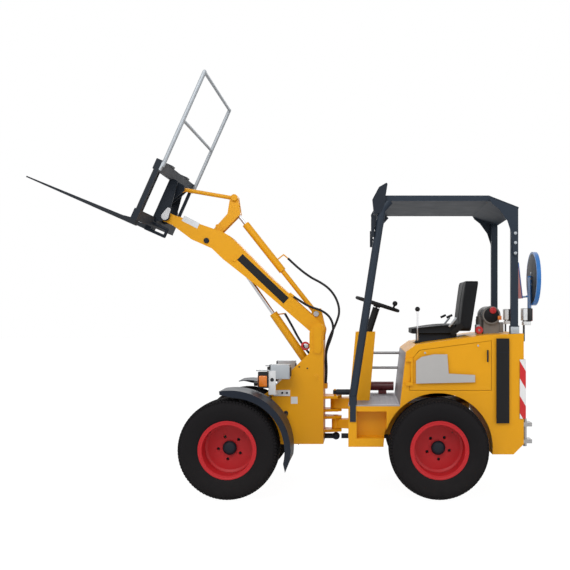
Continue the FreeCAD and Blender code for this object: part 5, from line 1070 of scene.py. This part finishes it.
def dress_seat_belt() -> None:
    """Belt buckles on their stalks at both sides of the seat."""
    for name, low, high, bevel, turn, x, z, finish in (
            ("buckle", (-0.024, 0.232, -0.009), (0.024, 0.256, 0.009), 0.004, 25, -0.872, 1.326,
             BLACK),
            ("buckle_stalk", (-0.045, 0.238, -0.008), (0.045, 0.246, 0.008), 0.003, 52, -0.897,
             1.281, GALVANISED),
            ("belt_strap", (-0.055, 0.236, -0.022), (0.055, 0.240, 0.022), 0.001, 40, -0.930,
             1.225, WEBBING)):
        piece = box(name, low, high, bevel=bevel)
        piece.rotation_euler = (0.0, math.radians(turn), 0.0)
        piece.location = (x, 0.0, z)
        both_sides(settle(piece), finish, "rear")


# ------------------------------------------------------------------ seat
@dataclass
class Pad:
    """Upholstered pad shaped from a box: crowned faces, pulled-in sides and sewn channels."""

    name: str
    node: str
    outline: Sequence[tuple[float, float]]
    half: float
    crown: float = 0.012
    pinch: float = 0.006
    channels: Sequence[float] = (0.52,)
    channel_deep: float = 0.008
    channel_wide: float = 0.035
    voxel: float = 0.035
    fill: float = 0.75

    def build(self) -> bpy.types.Object:
        """Make the pad and stand it in for its CAD solid.

        Returns:
            The pad.
        """
        low = self.half - 0.001
        pad = box(self.name, (-1.0, -1.0, -1.0), (1.0, 1.0, 1.0), bevel=0.14, segments=4)
        modify(pad, "REMESH", mode="VOXEL", voxel_size=self.voxel)
        for vertex in pad.data.vertices:
            a, b, c = (max(-1.0, min(1.0, value)) for value in vertex.co)
            vertex.co = self._shape(a, b, c, low)
        modify(pad, "SMOOTH", factor=0.5, iterations=2)
        outward(pad)
        hand_over(pad, SEAT, "rear", self.node, angle=60)
        return pad

    def _shape(self, a: float, b: float, c: float, half: float) -> Point:
        """Place of a point of the unit pad.

        Args:
            a: Place between the outline's rear and front, -1 to 1.
            b: Place across the width.
            c: Place between the outline's lower and upper side.
            half: Half the width in metres.

        Returns:
            The point in metres.
        """
        rear_low, front_low, front_high, rear_high = self.outline
        u, v = (a + 1) / 2, (c + 1) / 2
        x = ((rear_low[0] * (1 - u) + front_low[0] * u) * (1 - v)
             + (rear_high[0] * (1 - u) + front_high[0] * u) * v)
        z = ((rear_low[1] * (1 - u) + front_low[1] * u) * (1 - v)
             + (rear_high[1] * (1 - u) + front_high[1] * u) * v)
        pulled = self.pinch * (1 - a * a) * (1 - c * c)
        y = b * (half - pulled)
        face = self._face(a, b, c)
        return (x + face[0], y, z + face[1])

    def _face(self, a: float, b: float, c: float) -> tuple[float, float]:
        """Crown and channel depth at a point.

        Args:
            a: Place between the outline's rear and front, -1 to 1.
            b: Place across the width.
            c: Place between the outline's lower and upper side.

        Returns:
            The step in X and Z in metres.
        """
        rear_low, front_low, front_high = self.outline[:3]
        tall = front_high[1] - front_low[1] > abs(front_low[0] - rear_low[0])
        out, across = (a, c) if tall else (c, a)
        amount = -self.crown + self.crown * (1 - b * b) * (1 - across * across)
        for channel in self.channels:
            amount -= self.channel_deep * math.exp(-(((abs(b) - channel) / self.channel_wide) ** 2))
        step = amount * max(0.0, out)
        return (step, 0.0) if tall else (0.0, step)


PADS = (
    Pad("cushion_cover", "seat_cushion",
        ((-0.931, 1.192), (-0.584, 1.192), (-0.584, 1.246), (-0.931, 1.280)), 0.230),
    Pad("backrest_cover", "seat_backrest",
        ((-1.040, 1.212), (-0.937, 1.212), (-0.985, 1.597), (-1.100, 1.597)), 0.230),
)


# ------------------------------------------------------------------ studio
@dataclass
class Studio:
    """Floor, soft lights and the camera."""

    camera_at: Point = (-0.205, 6.65, 1.336)
    lens: float = 53.05
    shift_x: float = -0.135
    shift_y: float = 0.0526
    floor_half: float = 40.0
    aim: Point = (0.0, 0.0, 0.9)
    ambient: float = 0.42

    def build(self) -> None:
        """Make the floor, the lights, the world and the camera."""
        self._floor()
        self._world()
        self._lights()
        self._camera()

    def _floor(self) -> None:
        """Large white floor that keeps the object's shadow."""
        bpy.ops.mesh.primitive_plane_add(size=2 * self.floor_half)
        floor = bpy.context.object
        floor.name = "floor"
        material = bpy.data.materials.new("floor_white")
        graph = Graph(material)
        shader = graph.nodes["Principled BSDF"]
        shader.inputs["Base Color"].default_value = (0.9, 0.9, 0.9, 1.0)
        shader.inputs["Roughness"].default_value = 0.9
        glow = graph.add("Emission", {"Strength": 1.1})
        seen = graph.add("LightPath").outputs
        mix = graph.add("MixShader", {
            0: graph.math("MULTIPLY", seen["Is Camera Ray"], 0.88), 1: shader.outputs["BSDF"],
            2: glow.outputs["Emission"]})
        surface = graph.nodes["Material Output"].inputs["Surface"]
        graph.links.new(mix.outputs["Shader"], surface)
        floor.data.materials.append(material)

    def _world(self) -> None:
        """White backdrop for camera, glossy and transmission rays, softer light elsewhere."""
        world = bpy.data.worlds.new("studio")
        bpy.context.scene.world = world
        graph = Graph(world)
        seen = graph.add("LightPath").outputs
        either = graph.math("MAXIMUM", seen["Is Camera Ray"], seen["Is Transmission Ray"])
        shown = graph.math("MAXIMUM", either, seen["Is Glossy Ray"])
        strength = graph.add("MapRange", {
            "Value": shown, "To Min": self.ambient, "To Max": 1.0})
        ground = graph.nodes["Background"].inputs
        ground["Color"].default_value = (1.0, 1.0, 1.0, 1.0)
        graph.links.new(strength.outputs["Result"], ground["Strength"])

    def _lights(self) -> None:
        """Large soft lamps from above, in front and behind."""
        for name, at, size, power in (
            ("key", (1.5, 4.5, 5.0), 4.0, 165.0),
            ("fill", (-4.5, 4.0, 3.0), 4.0, 62.0),
            ("back", (0.0, -5.0, 4.5), 5.0, 80.0),
        ):
            lamp = bpy.data.lights.new(name, "AREA")
            lamp.size = size
            lamp.energy = power
            obj = bpy.data.objects.new(name, lamp)
            bpy.context.collection.objects.link(obj)
            obj.location = at
            aim = Vector(self.aim) - Vector(at)
            obj.rotation_euler = aim.to_track_quat("-Z", "Y").to_euler()

    def _camera(self) -> None:
        """Level camera looking along -Y at the left side."""
        data = bpy.data.cameras.new("camera")
        data.lens = self.lens
        data.sensor_width = 36.0
        data.shift_x = self.shift_x
        data.shift_y = self.shift_y
        data.clip_end = 200.0
        obj = bpy.data.objects.new("camera", data)
        bpy.context.collection.objects.link(obj)
        obj.location = self.camera_at
        obj.rotation_euler = (math.pi / 2, 0.0, math.pi)
        bpy.context.scene.camera = obj


def main() -> None:
    """Build the dressed loader and its studio."""
    logging.basicConfig(level=logging.INFO, format="%(message)s")
    bpy.context.scene.view_settings.view_transform = "Standard"
    Studio().build()
    dress_frame()
    for hose in HOSES:
        hose.build()
    dress_wheels()
    for sign, side in ((1, "left"), (-1, "right")):
        dress_front_lamps(sign, side)
    dress_front_frame()
    dress_boom()
    dress_body()
    dress_rear_lamps()
    dress_rear_sign()
    dress_posts()
    dress_lever()
    dress_footwell()
    dress_crank_pins()
    dress_engine_top()
    dress_seat_belt()
    for pad in PADS:
        pad.build()


if __name__ == "__main__":
    main()
